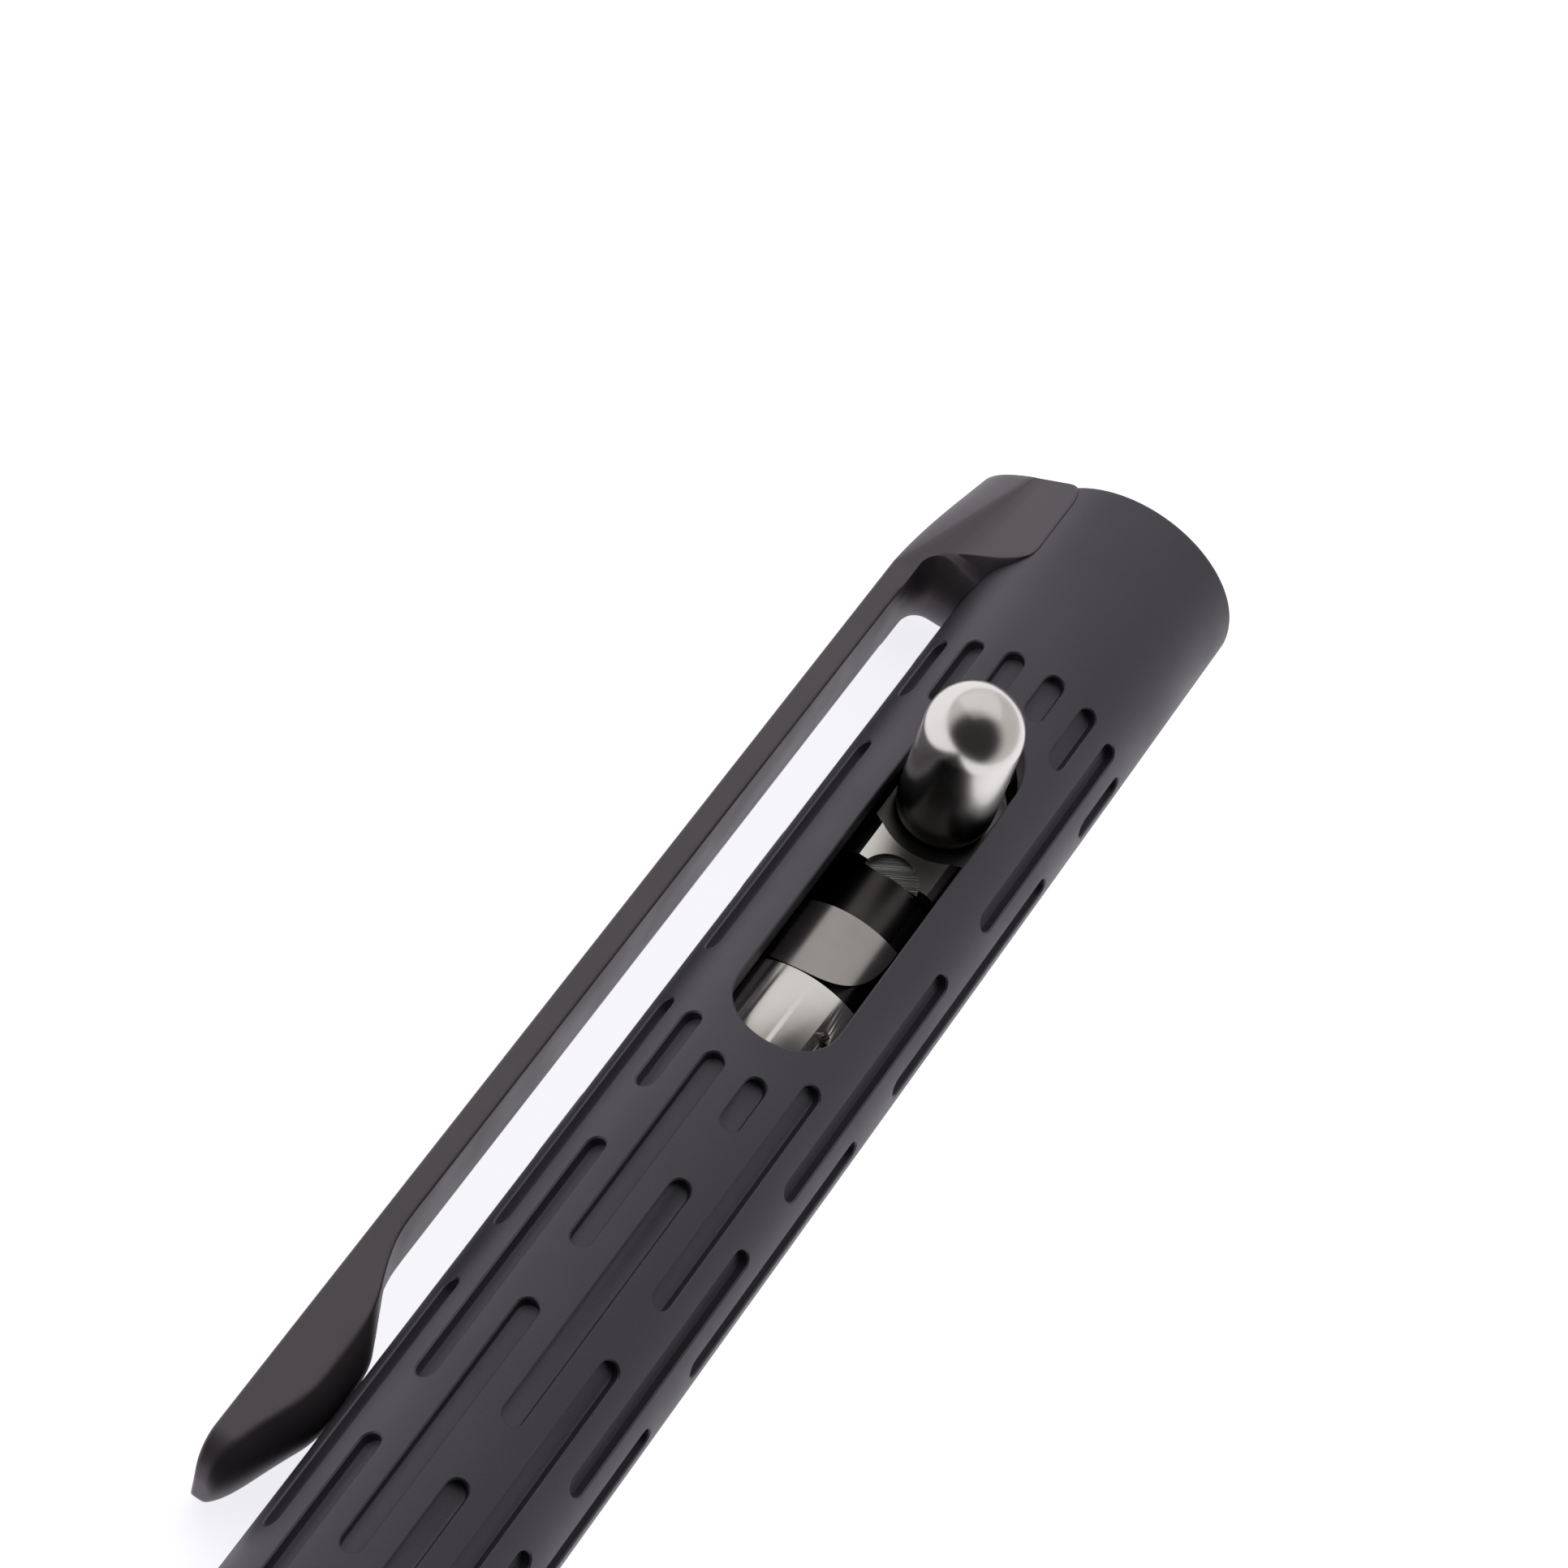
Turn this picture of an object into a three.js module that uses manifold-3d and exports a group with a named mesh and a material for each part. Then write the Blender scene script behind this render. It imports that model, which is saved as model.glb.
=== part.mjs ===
// Bolt action ballpoint pen, lying on its barrel and on the edge of its clip.
// Millimetres. Inside the pen group X runs along the pen from the rear end to the tip,
// Y points out through the bolt slot and Z points towards the clip.
import * as THREE from "three";
import { mergeVertices } from "three/addons/utils/BufferGeometryUtils.js";
import Module from "manifold-3d";

const wasm = await Module();
wasm.setup();

// Clearances and cutting
const seatGap = 0.3;
const fitGap = 0.15;
const overrun = 1;
const weld = 0.0001;

// Roundness, in sides of a full turn
const barrelSides = 32;
const knobSides = 24;
const smallSides = 20;
const tinySides = 12;
const ringSides = 6;

// Barrel
const barrelDiameter = 11;
const barrelLength = 112;
const boreDiameter = 8.2;
const counterboreDiameter = 9.1;
const barrelChamfer = 0.2;

// Grooves milled along the barrel, in rings that alternate like bricks
const grooveColumns = 16;
const grooveWidth = 1;
const grooveDepth = 0.45;
const grooveLength = 13.5;
const groovePitch = 16.6;
const grooveFirst = 10.95;
const grooveFrontMargin = 5;
const evenRingStart = 17.75;
const oddRingStart = 26.05;
const grooveEndSteps = 2;
const slotMargin = 1;
const slotSideMargin = 0.5;

// Slot that the bolt slides in
const slotWidth = 5;
const slotStart = 14.6;
const slotLength = 20.35;
const slotEndSteps = 5;

// Bolt knob, a round-headed pin with a rounded foot, screwed into the carriage
const knobPlace = 18.64;
const knobDiameter = 4.52;
const knobHeight = 11.6;
const knobFootDiameter = 3.9;
const knobFootHeight = 1.3;
const knobStudDiameter = 2.5;
const knobStudDepth = 4.4;
const knobDomeSteps = 6;
const knobFootSteps = 3;

// Carriage that carries the knob
const carriageBehindKnob = 5.14;
const carriageAheadOfKnob = 4.46;
const carriageDiameter = 7.3;
const carriageLandDiameter = 7.9;
const carriageLandLength = 1;
const carriageFlatHeight = 3.2;
const carriageChamfer = 0.2;
const knobSeatDiameter = 6;
const knobSeatDepth = 0.35;
const pocketHalfWidth = 1.35;
const pocketReach = 1.1;
const pocketDepth = 0.55;
const pocketTilt = THREE.MathUtils.degToRad(14);
const stemDiameter = 3.2;

// Two-lobed crown pressed on the carriage's stem
const crownHubDiameter = 5.8;
const crownDiameter = 7.7;
const crownNeckLength = 3.3;
const crownLobeReach = 3.7;
const crownLobeCount = 2;
const crownLobeHalfAngle = THREE.MathUtils.degToRad(50);
const crownLobeTurn = THREE.MathUtils.degToRad(15);
const crownLobeRoundness = 2.6;
const crownLobeSteps = 14;
const crownLobeBite = 0.5;

// Turning cup on the refill's tail, and the sleeve that turns it
const stroke = 10;
const strokeTurn = THREE.MathUtils.degToRad(45);
const rotorDiameter = 7.7;
const rotorWebLength = 4.8;
const rotorHeadLength = 5.8;
const rotorSkirtDiameter = 7.2;
const rotorCupDiameter = 6.3;
const rotorLength = 22.5;
const rotorLugCount = 4;
const rotorLugDiameter = 7.9;
const rotorLugLength = 2.5;
const rotorLugAngle = THREE.MathUtils.degToRad(18);
const rotorMarkDiameter = 0.8;
const rotorMarkDepth = 0.8;
const rotorMarkPlace = 1.8;
const rotorMarkTurn = THREE.MathUtils.degToRad(-28);
const sleeveLength = 13;
const sleeveBoreDiameter = 7.5;
const sleeveGrooveDiameter = 8.16;
const sleeveGrooveAngle = THREE.MathUtils.degToRad(28);
const sleeveTwistSteps = 5;
const lugTwistSteps = 2;
const sleeveLandSteps = 4;
const sleeveGrooveSteps = 3;

// Rear plug with its sealing ring
const plugDiameter = 7.9;
const plugKeyWidth = 4;
const plugKeyDepth = 3;
const plugKeySides = 6;
const plugRingPlace = 9.4;
const ringSection = 0.76;
const plugRingDiameter = 7.2;

// Ballpoint refill
const refillSetback = 4.5;
const refillDiameter = 5.9;
const refillWall = 0.4;
const tailPlugLength = 4.5;
const tailPlugStub = 3;
const inkShare = 0.82;
const inkFront = 1.5;
const refillNoseLength = 11;
const refillNoseDiameter = 3.2;
const refillNoseFlange = 0.9;
const refillNoseStub = 4;
const refillFeedDiameter = 1;
const refillPointLength = 9;
const refillPointDiameter = 2.3;
const refillPointStub = 3.2;
const refillPointStubDiameter = 1.8;
const refillPointTaper = 1.6;
const writingBallDiameter = 0.7;
const ballSocketGap = 0.05;
const socketWall = 0.12;
const pointFeedDiameter = 0.4;

// Return spring
const springWire = 0.4;
const springDiameter = 4.4;
const springTurns = 8;
const springStepsPerTurn = 8;
const springWireSides = 5;

// Nose section screwed into the barrel, and its metal tip
const noseLength = 26;
const noseStraight = 5;
const noseBoreDiameter = 6.4;
const noseSpigotLength = 9;
const noseSpigotDiameter = 8.8;
const noseFrontDiameter = 6.4;
const noseTipLength = 6;
const noseTipStub = 3;
const noseTipStubDiameter = 5;
const noseTipFrontDiameter = 3.8;
const noseTipClearDiameter = 3.7;
const noseTipHoleDiameter = 2.7;
const noseTipHoleLength = 2.6;
const noseRingPlace = 1.6;
const noseRingDiameter = 8.1;
const noseCurveSteps = 6;

// Clip
const clipWidth = 4.7;
const clipThickness = 1.1;
const clipHeight = 8.83;
const clipHeadLength = 5.65;
const clipHeadHeight = 8;
const clipHeadBaseWidth = 8.48;
const clipHeadBaseHeight = 4.1;
const clipShoulderWidth = 6;
const clipShoulderHeight = 5.82;
const clipHeadFlat = 0.6;
const clipEdge = 0.15;
const clipRampLength = 7.9;
const clipCornerRadius = 0.9;
const clipNeckRadius = 1.2;
const clipShadowGap = 0.3;
const clipLength = 63.5;
const clipTipRadius = 1;
const clipTopBend = 1.2;
const clipTopTip = 8.55;
const clipFootLength = 13.5;
const clipFootBend = 5.4;
const clipSideDrop = 1.48;
const clipSideRise = 7.8;
const clipSideBow = 1.7;
const clipSideTip = 8.15;
const clipKeelDrop = 2.13;
const clipKeelRise = 5.2;
const clipKeelBow = 1.2;
const clipKeelTip = 7.65;
const clipHeadSteps = 7;
const clipCornerSteps = 5;
const clipFilletSteps = 6;
const clipKeelSteps = 4;
const clipFootSteps = 5;
const clipTipSteps = 2;

// Screws that hold the clip from inside the bore
const clipScrewPlaces = [1.6, 3.7];
const clipScrewDiameter = 1.1;
const clipScrewHeadDiameter = 1.9;
const clipScrewHeadHeight = 0.55;
const clipScrewTop = 6.9;

// Places along the pen that follow from the sizes above
const barrelRadius = barrelDiameter / 2;
const barrelFlatRadius = barrelRadius * Math.cos(Math.PI / barrelSides);
const grooveLast = barrelLength - grooveFrontMargin;
const slotEnd = slotStart + slotLength;
const carriageRear = knobPlace - carriageBehindKnob;
const carriageFront = knobPlace + carriageAheadOfKnob;
const crownTip = carriageFront + crownNeckLength + crownLobeReach;
const rotorRear = crownTip + seatGap;
const rotorFront = rotorRear + rotorLength;
const sleeveRear = rotorRear + rotorHeadLength + stroke + seatGap;
const sleeveFront = sleeveRear + sleeveLength;
const lugRear = sleeveFront - stroke + fitGap;
const refillTail = rotorRear + rotorWebLength + seatGap;
const tubeRear = refillTail + tailPlugLength;
const penLength = barrelLength + noseLength;
const refillTip = penLength - refillSetback;
const pointShoulder = refillTip - refillPointLength;
const noseShoulder = pointShoulder - refillNoseLength;
const tubeFront = noseShoulder - refillNoseFlange - seatGap;
const noseRear = barrelLength + fitGap;
const tipRear = penLength - noseTipLength;
const springRear = noseShoulder + seatGap;
const springFront = tipRear - noseTipStub - seatGap;
const clipUnderside = clipHeight - clipThickness;
const clipFootStart = clipLength - clipFootLength;
const clipFootLevel = clipFootStart + clipFootBend;
const clipKeelEnd = clipLength - clipKeelRise;
const clipTopEnd = clipLength - clipTopBend;
const twistRate = strokeTurn / stroke;
const towardsClip = Math.PI / 2;

// A closed solid from a geometry whose shared corners are merged.
function solid(geometry) {
  const bare = geometry.index ? geometry.toNonIndexed() : geometry.clone();
  bare.deleteAttribute("normal");
  bare.deleteAttribute("uv");
  const merged = mergeVertices(bare, weld);
  const made = new wasm.Manifold(
    new wasm.Mesh({
      numProp: 3,
      vertProperties: merged.attributes.position.array,
      triVerts: new Uint32Array(merged.index.array),
    }),
  );
  return made;
}

// The solid's own corners and triangles as a geometry.
function geometryOf(body) {
  const mesh = body.getMesh();
  const geometry = new THREE.BufferGeometry();
  geometry.setAttribute("position", new THREE.BufferAttribute(mesh.vertProperties, mesh.numProp));
  geometry.setIndex(new THREE.BufferAttribute(mesh.triVerts, 1));
  return geometry;
}

function cutAll(body, cutters) {
  return cutters.reduce((rest, cutter) => rest.subtract(solid(cutter)), body);
}

function joinAll(body, extras) {
  return extras.reduce((whole, extra) => whole.add(solid(extra)), body);
}

// A turned piece along X from [place, radius] pairs that go round its half section.
function turned(profile, sides = barrelSides) {
  const points = profile.map(([place, radius]) => new THREE.Vector2(radius, place));
  const half = Math.PI / sides;
  const geometry = new THREE.LatheGeometry(points, sides, half, Math.PI + Math.PI);
  return geometry.rotateZ(-towardsClip);
}

// The closed half section of a plain cylinder from rear to front.
function rod(rear, front, radius) {
  return [
    [rear, 0],
    [rear, radius],
    [front, radius],
    [front, 0],
  ];
}

// A turned tube: the outer outline from rear to front, then the bore back to the rear.
function tube(outer, bore, sides = barrelSides) {
  return turned([...outer, ...bore.toReversed(), outer[0]], sides);
}

// A radial pin at a place along the pen, turned about its own axis.
function radialPin(place, angle, inner, outer, radius, sides = tinySides) {
  const pin = new THREE.CylinderGeometry(radius, radius, outer - inner, sides);
  pin.translate(0, (outer + inner) / 2, 0);
  return pin.rotateX(angle).translate(place, 0, 0);
}

// A round-ended slot outline along X, centred across.
function stadium(start, end, width, steps) {
  const radius = width / 2;
  const shape = new THREE.Shape();
  shape.absarc(end - radius, 0, radius, -Math.PI / 2, Math.PI / 2);
  shape.absarc(start + radius, 0, radius, Math.PI / 2, Math.PI * 1.5);
  return new THREE.Shape(shape.getPoints(steps));
}

// A stadium-shaped cutter that stands on the pen's surface at an angle round the axis.
function stadiumCutter(start, end, width, steps, angle, inner, outer) {
  const cutter = new THREE.ExtrudeGeometry(stadium(start, end, width, steps), {
    depth: outer - inner,
    bevelEnabled: false,
  });
  return cutter.translate(0, 0, inner).rotateX(angle - towardsClip);
}

// Turn every corner about X by an angle that grows along the pen.
function twist(geometry) {
  const corners = geometry.getAttribute("position");
  const corner = new THREE.Vector3();
  const axis = new THREE.Vector3(1, 0, 0);
  for (let i = 0; i < corners.count; i += 1) {
    corner.fromBufferAttribute(corners, i);
    corner.applyAxisAngle(axis, twistRate * (corner.x - sleeveRear));
    corners.setXYZ(i, corner.x, corner.y, corner.z);
  }
  return geometry;
}

// Extrude a cross section along X from one place to another.
function alongPen(shape, rear, front, steps = 1) {
  const geometry = new THREE.ExtrudeGeometry(shape, { depth: front - rear, steps, bevelEnabled: false });
  return geometry.rotateY(towardsClip).translate(rear, 0, 0);
}

// Skin a row of closed outlines with equal counts of corners, and cap both ends.
function loft(outlines) {
  const count = outlines[0].length;
  const corners = outlines.flat();
  const faces = [];
  for (let s = 0; s + 1 < outlines.length; s += 1) {
    for (let i = 0; i < count; i += 1) {
      const a = s * count + i;
      const b = s * count + ((i + 1) % count);
      faces.push(a, b, b + count, a, b + count, a + count);
    }
  }
  const last = corners.length - count;
  const flat = outlines[0].map((corner) => new THREE.Vector2(corner.y, corner.z));
  for (const [a, b, c] of THREE.ShapeUtils.triangulateShape(flat, [])) {
    faces.push(a, c, b, last + a, last + b, last + c);
  }
  const geometry = new THREE.BufferGeometry().setFromPoints(corners);
  geometry.setIndex(faces);
  return geometry;
}

// Round ring of round section about X, for the sealing rings.
function sealRing(place, diameter) {
  const ring = new THREE.TorusGeometry(diameter / 2, ringSection / 2, ringSides, knobSides);
  return ring.rotateY(towardsClip).translate(place, 0, 0);
}

// Half section of the groove that a sealing ring lies in, cut from the outside.
function ringGroove(place, diameter) {
  const half = ringSection / 2 + fitGap;
  const floor = diameter / 2 - ringSection / 2 - fitGap;
  const outer = diameter / 2 + ringSection + overrun;
  return tube(
    [
      [place - half, outer],
      [place + half, outer],
    ],
    [
      [place - half, floor],
      [place + half, floor],
    ],
  );
}

// Where the grooves of one column run, with the slot's surroundings left plain.
function grooveRuns(column) {
  const angle = ((column + 1 / 2) * 2 * Math.PI) / grooveColumns;
  const across = Math.abs(Math.sin(angle)) * barrelRadius;
  const nearSlot = across - grooveWidth / 2 < slotWidth / 2 + slotSideMargin;
  const besideSlot = nearSlot && Math.cos(angle) > 0;
  const ring = column % 2 === 0 ? evenRingStart : oddRingStart;
  const runs = [];
  for (let start = ring - 2 * groovePitch; start < grooveLast; start += groovePitch) {
    const from = Math.max(start, grooveFirst);
    const to = Math.min(start + grooveLength, grooveLast);
    runs.push(...(besideSlot ? outsideSlot(from, to) : [[from, to]]));
  }
  return runs.filter(([from, to]) => to - from > 2 * grooveWidth).map((run) => [angle, ...run]);
}

// What is left of a run behind the slot and in front of it.
function outsideSlot(from, to) {
  return [
    [from, Math.min(to, slotStart - slotMargin)],
    [Math.max(from, slotEnd + slotMargin), to],
  ];
}

function barrel() {
  const bore = boreDiameter / 2;
  const counterbore = counterboreDiameter / 2;
  const shoulder = sleeveRear - seatGap;
  let body = solid(
    tube(
      [
        [0, barrelRadius - barrelChamfer],
        [barrelChamfer, barrelRadius],
        [barrelLength, barrelRadius],
      ],
      [
        [0, bore],
        [shoulder, bore],
        [shoulder, counterbore],
        [barrelLength, counterbore],
      ],
    ),
  );
  const floor = barrelFlatRadius - grooveDepth;
  const columns = Array.from({ length: grooveColumns }, (_, column) => grooveRuns(column)).flat();
  const grooves = columns.map(([angle, from, to]) =>
    stadiumCutter(from, to, grooveWidth, grooveEndSteps, angle, floor, barrelRadius + overrun),
  );
  body = cutAll(body, grooves);
  const slot = stadiumCutter(slotStart, slotEnd, slotWidth, slotEndSteps, 0, 0, barrelRadius + overrun);
  const headFloor = bore + clipScrewHeadHeight + fitGap + fitGap;
  const screwHoles = clipScrewPlaces.flatMap((place) => [
    radialPin(place, towardsClip, bore - overrun, headFloor, clipScrewHeadDiameter / 2 + fitGap),
    radialPin(place, towardsClip, bore, barrelRadius + overrun, clipScrewDiameter / 2 + fitGap),
  ]);
  return cutAll(body, [slot, ...screwHoles]);
}

function rearPlug() {
  const body = solid(turned(rod(seatGap, carriageRear - seatGap, plugDiameter / 2)));
  const across = plugKeyWidth / Math.cos(Math.PI / plugKeySides);
  const key = turned(rod(seatGap - overrun, seatGap + plugKeyDepth, across / 2), plugKeySides);
  return cutAll(body, [key, ringGroove(plugRingPlace, plugRingDiameter)]);
}

// The clip screw's head lies in the barrel's wall and its shank ends in the clip.
function clipScrew(place) {
  const headInner = boreDiameter / 2 + fitGap / 2;
  const headOuter = headInner + clipScrewHeadHeight;
  const head = radialPin(place, towardsClip, headInner, headOuter, clipScrewHeadDiameter / 2);
  const shank = radialPin(place, towardsClip, headInner, clipScrewTop, clipScrewDiameter / 2);
  return joinAll(solid(head), [shank]);
}

// One outline of the clip's head: flanks, rounded shoulders and a top that widens to the arm.
function headOutline(place, share) {
  const top = THREE.MathUtils.lerp(clipHeadHeight, clipHeight, Math.sin((share * Math.PI) / 2));
  const baseHalf = clipHeadBaseWidth / 2;
  const shoulderHalf = THREE.MathUtils.lerp(clipShoulderWidth, clipWidth, share) / 2;
  const lean = (baseHalf - clipShoulderWidth / 2) / (clipShoulderHeight - clipHeadBaseHeight);
  const cornerHalf = shoulderHalf - lean * (1 - share) * (top - clipShoulderHeight);
  const topHalf = THREE.MathUtils.lerp(clipHeadFlat / 2, clipWidth / 2 - clipEdge, share);
  const sideHeight = THREE.MathUtils.lerp(clipShoulderHeight, top - clipEdge, share);
  const corner = new THREE.QuadraticBezierCurve(
    new THREE.Vector2(shoulderHalf, sideHeight),
    new THREE.Vector2(cornerHalf, top),
    new THREE.Vector2(topHalf, top),
  );
  const half = [
    new THREE.Vector2(baseHalf, clipHeadBaseHeight),
    new THREE.Vector2(shoulderHalf, clipShoulderHeight - clipEdge),
    ...corner.getPoints(clipCornerSteps),
  ];
  return mirrored(half, place);
}

// A closed outline across the pen from the points of its right half, listed upwards.
function mirrored(half, place) {
  const right = half.map((point) => new THREE.Vector3(place, point.x, point.y));
  const left = half.map((point) => new THREE.Vector3(place, -point.x, point.y));
  return [...right, ...left.toReversed()];
}

// Height of the foot's underside along the clip: down in a soft bend, and up again to the tip.
function footHeight(place, drop, rise, bow, tip) {
  const share = (place - clipLength + rise) / rise;
  const lowest = clipUnderside - drop;
  if (share > 0) return THREE.MathUtils.lerp(lowest, tip, Math.pow(share, bow));
  return clipUnderside - drop * THREE.MathUtils.smoothstep(place, clipFootStart, clipFootLevel);
}

// One outline of the arm and the foot, whose underside bulges like a keel.
function armOutline(place) {
  const half = clipWidth / 2;
  const tipShare = Math.max(0, (place - clipTopEnd) / (clipLength - clipTopEnd));
  const top = THREE.MathUtils.lerp(clipHeight, clipTopTip, tipShare * tipShare);
  const side = footHeight(place, clipSideDrop, clipSideRise, clipSideBow, clipSideTip);
  const keel = footHeight(place, clipKeelDrop, clipKeelRise, clipKeelBow, clipKeelTip);
  const under = [];
  for (let i = 0; i <= clipKeelSteps; i += 1) {
    const share = i / clipKeelSteps;
    under.push(new THREE.Vector2(half * share, keel + (side - keel) * share * share));
  }
  const sides = [new THREE.Vector2(half, top - clipEdge), new THREE.Vector2(half - clipEdge, top)];
  const outline = mirrored([...under, ...sides], place);
  return outline.slice(0, -1);
}

// Places from one to another in equal steps, without the first.
function stations(from, to, steps) {
  return Array.from({ length: steps }, (_, i) => THREE.MathUtils.lerp(from, to, (i + 1) / steps));
}

function clip() {
  const headShares = Array.from({ length: clipHeadSteps + 1 }, (_, i) => i / clipHeadSteps);
  const head = solid(loft(headShares.map((share) => headOutline(share * clipRampLength, share))));
  const armPlaces = [
    clipRampLength - clipEdge,
    clipFootStart,
    ...stations(clipFootStart, clipFootLevel, clipFootSteps),
    ...stations(clipFootLevel, clipKeelEnd, clipTipSteps),
    ...stations(clipKeelEnd, clipTopEnd, clipTipSteps + 1),
    ...stations(clipTopEnd, clipLength, clipTipSteps),
  ];
  const arm = solid(loft(armPlaces.map(armOutline)));
  const hollow = turned(rod(-overrun, clipLength, barrelRadius + clipShadowGap));
  const holes = clipScrewPlaces.map((place) =>
    radialPin(place, towardsClip, barrelRadius - overrun, clipScrewTop + fitGap, clipScrewDiameter / 2 + fitGap),
  );
  const shaped = head.add(arm).intersect(solid(clipPlan()));
  return cutAll(shaped, [hollow, clipUndercut(), ...holes]);
}

// The clip seen from outside: the broad head with a round corner on each side, the neck and the arm.
function clipPlan() {
  const head = clipHeadBaseWidth / 2;
  const arm = clipWidth / 2;
  const flank = clipHeadLength - clipCornerRadius;
  const neck = clipHeadLength + clipNeckRadius;
  const tip = clipLength - clipTipRadius;
  const quarter = Math.PI / 2;
  const plan = new THREE.Shape();
  plan.moveTo(0, -head);
  plan.absarc(flank, clipCornerRadius - head, clipCornerRadius, -quarter, 0);
  plan.absarc(neck, -arm - clipNeckRadius, clipNeckRadius, Math.PI, quarter, true);
  plan.absarc(tip, clipTipRadius - arm, clipTipRadius, -quarter, 0);
  plan.absarc(tip, arm - clipTipRadius, clipTipRadius, 0, quarter);
  plan.absarc(neck, arm + clipNeckRadius, clipNeckRadius, -quarter, -Math.PI, true);
  plan.absarc(flank, head - clipCornerRadius, clipCornerRadius, 0, quarter);
  plan.lineTo(0, head);
  const height = clipHeight + overrun;
  return new THREE.ExtrudeGeometry(plan, { depth: height, bevelEnabled: false, curveSegments: clipFilletSteps });
}

// The space under the arm, with a half-round end at the head.
function clipUndercut() {
  const radius = (clipUnderside - barrelRadius) / 2;
  const under = new THREE.Shape();
  under.moveTo(clipRampLength, 0);
  under.absarc(clipRampLength, barrelRadius + radius, radius, Math.PI * 1.5, Math.PI / 2, true);
  under.lineTo(clipFootStart, clipUnderside);
  under.lineTo(clipFootStart, 0);
  const width = clipHeadBaseWidth + overrun + overrun;
  const cutter = new THREE.ExtrudeGeometry(under, {
    depth: width,
    bevelEnabled: false,
    curveSegments: clipFilletSteps,
  });
  return cutter.rotateX(Math.PI / 2).translate(0, width / 2, 0);
}

// The knob, turned about its own axis, which is Y.
function boltKnob() {
  const radius = knobDiameter / 2;
  const footRadius = knobFootDiameter / 2;
  const seat = carriageFlatHeight - knobSeatDepth + seatGap;
  const stud = knobStudDiameter / 2;
  const points = [
    new THREE.Vector2(0, seat - knobStudDepth),
    new THREE.Vector2(stud, seat - knobStudDepth),
    new THREE.Vector2(stud, seat),
  ];
  for (let i = 0; i <= knobFootSteps; i += 1) {
    const angle = ((i / knobFootSteps) * Math.PI) / 2;
    const girth = THREE.MathUtils.lerp(footRadius, radius, Math.sin(angle));
    points.push(new THREE.Vector2(girth, seat + knobFootHeight * (1 - Math.cos(angle))));
  }
  for (let i = 0; i < knobDomeSteps; i += 1) {
    const angle = ((i / knobDomeSteps) * Math.PI) / 2;
    const height = knobHeight - radius + radius * Math.sin(angle);
    points.push(new THREE.Vector2(radius * Math.cos(angle), height));
  }
  points.push(new THREE.Vector2(0, knobHeight));
  return solid(new THREE.LatheGeometry(points, knobSides).translate(knobPlace, 0, 0));
}

// A cylinder about the knob's axis, for the carriage's milled seat and tapped hole.
function knobBore(radius, bottom, top, sides) {
  const bore = new THREE.CylinderGeometry(radius, radius, top - bottom, sides);
  return bore.translate(knobPlace, (top + bottom) / 2, 0);
}

function boltCarriage() {
  const radius = carriageDiameter / 2;
  const land = carriageLandDiameter / 2;
  const landFront = carriageRear + carriageLandLength;
  const stemFront = crownTip - seatGap;
  const body = turned([
    [carriageRear, 0],
    [carriageRear, land],
    [landFront, land],
    [landFront, radius],
    [carriageFront - carriageChamfer, radius],
    [carriageFront, radius - carriageChamfer],
    [carriageFront, stemDiameter / 2],
    [stemFront, stemDiameter / 2],
    [stemFront, 0],
  ]);
  const length = carriageFront - landFront + overrun;
  const top = new THREE.BoxGeometry(length, radius, carriageDiameter + overrun);
  top.translate(landFront + length / 2, carriageFlatHeight + radius / 2, 0);
  const seatFloor = carriageFlatHeight - knobSeatDepth;
  const seat = knobBore(knobSeatDiameter / 2, seatFloor, seatFloor + radius, barrelSides);
  const holeFloor = seatFloor + seatGap - knobStudDepth - seatGap;
  const hole = knobBore(knobStudDiameter / 2 + fitGap, holeFloor, seatFloor + overrun, smallSides);
  return cutAll(solid(body), [top, seat, hole, flatPocket()]);
}

// The half-moon cut in the front edge of the carriage's flat.
function flatPocket() {
  const radius = (pocketHalfWidth * pocketHalfWidth + pocketReach * pocketReach) / (pocketReach * 2);
  const pocket = new THREE.CylinderGeometry(radius, radius, carriageDiameter, smallSides);
  pocket.translate(0, carriageDiameter / 2, 0).rotateZ(-pocketTilt);
  return pocket.translate(carriageFront - pocketReach + radius, carriageFlatHeight - pocketDepth, 0);
}

// How far a lobe reaches forward at an angle from its middle.
function lobeReach(angle) {
  const share = Math.min(1, Math.abs(angle) / crownLobeHalfAngle);
  const height = 1 - Math.pow(share, crownLobeRoundness);
  return crownLobeReach * Math.pow(height, 1 / crownLobeRoundness);
}

// One lobe as a curved finger on the hub, with a rounded front edge.
function crownLobe(turn) {
  const base = carriageFront + crownNeckLength;
  const rings = [];
  for (let i = 0; i <= crownLobeSteps; i += 1) {
    const side = Math.cos((i / crownLobeSteps) * Math.PI);
    const angle = -side * crownLobeHalfAngle;
    const front = base + Math.max(lobeReach(angle), fitGap);
    rings.push({ angle: angle + turn, front });
  }
  const inner = crownHubDiameter / 2 - crownLobeBite;
  const outer = crownDiameter / 2;
  const outlines = rings.map(({ angle, front }) =>
    [
      [base, inner],
      [base, outer],
      [front, outer],
      [front, inner],
    ].map(([place, radius]) => new THREE.Vector3(place, radius * Math.cos(angle), radius * Math.sin(angle))),
  );
  return bandAround(outlines);
}

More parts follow.
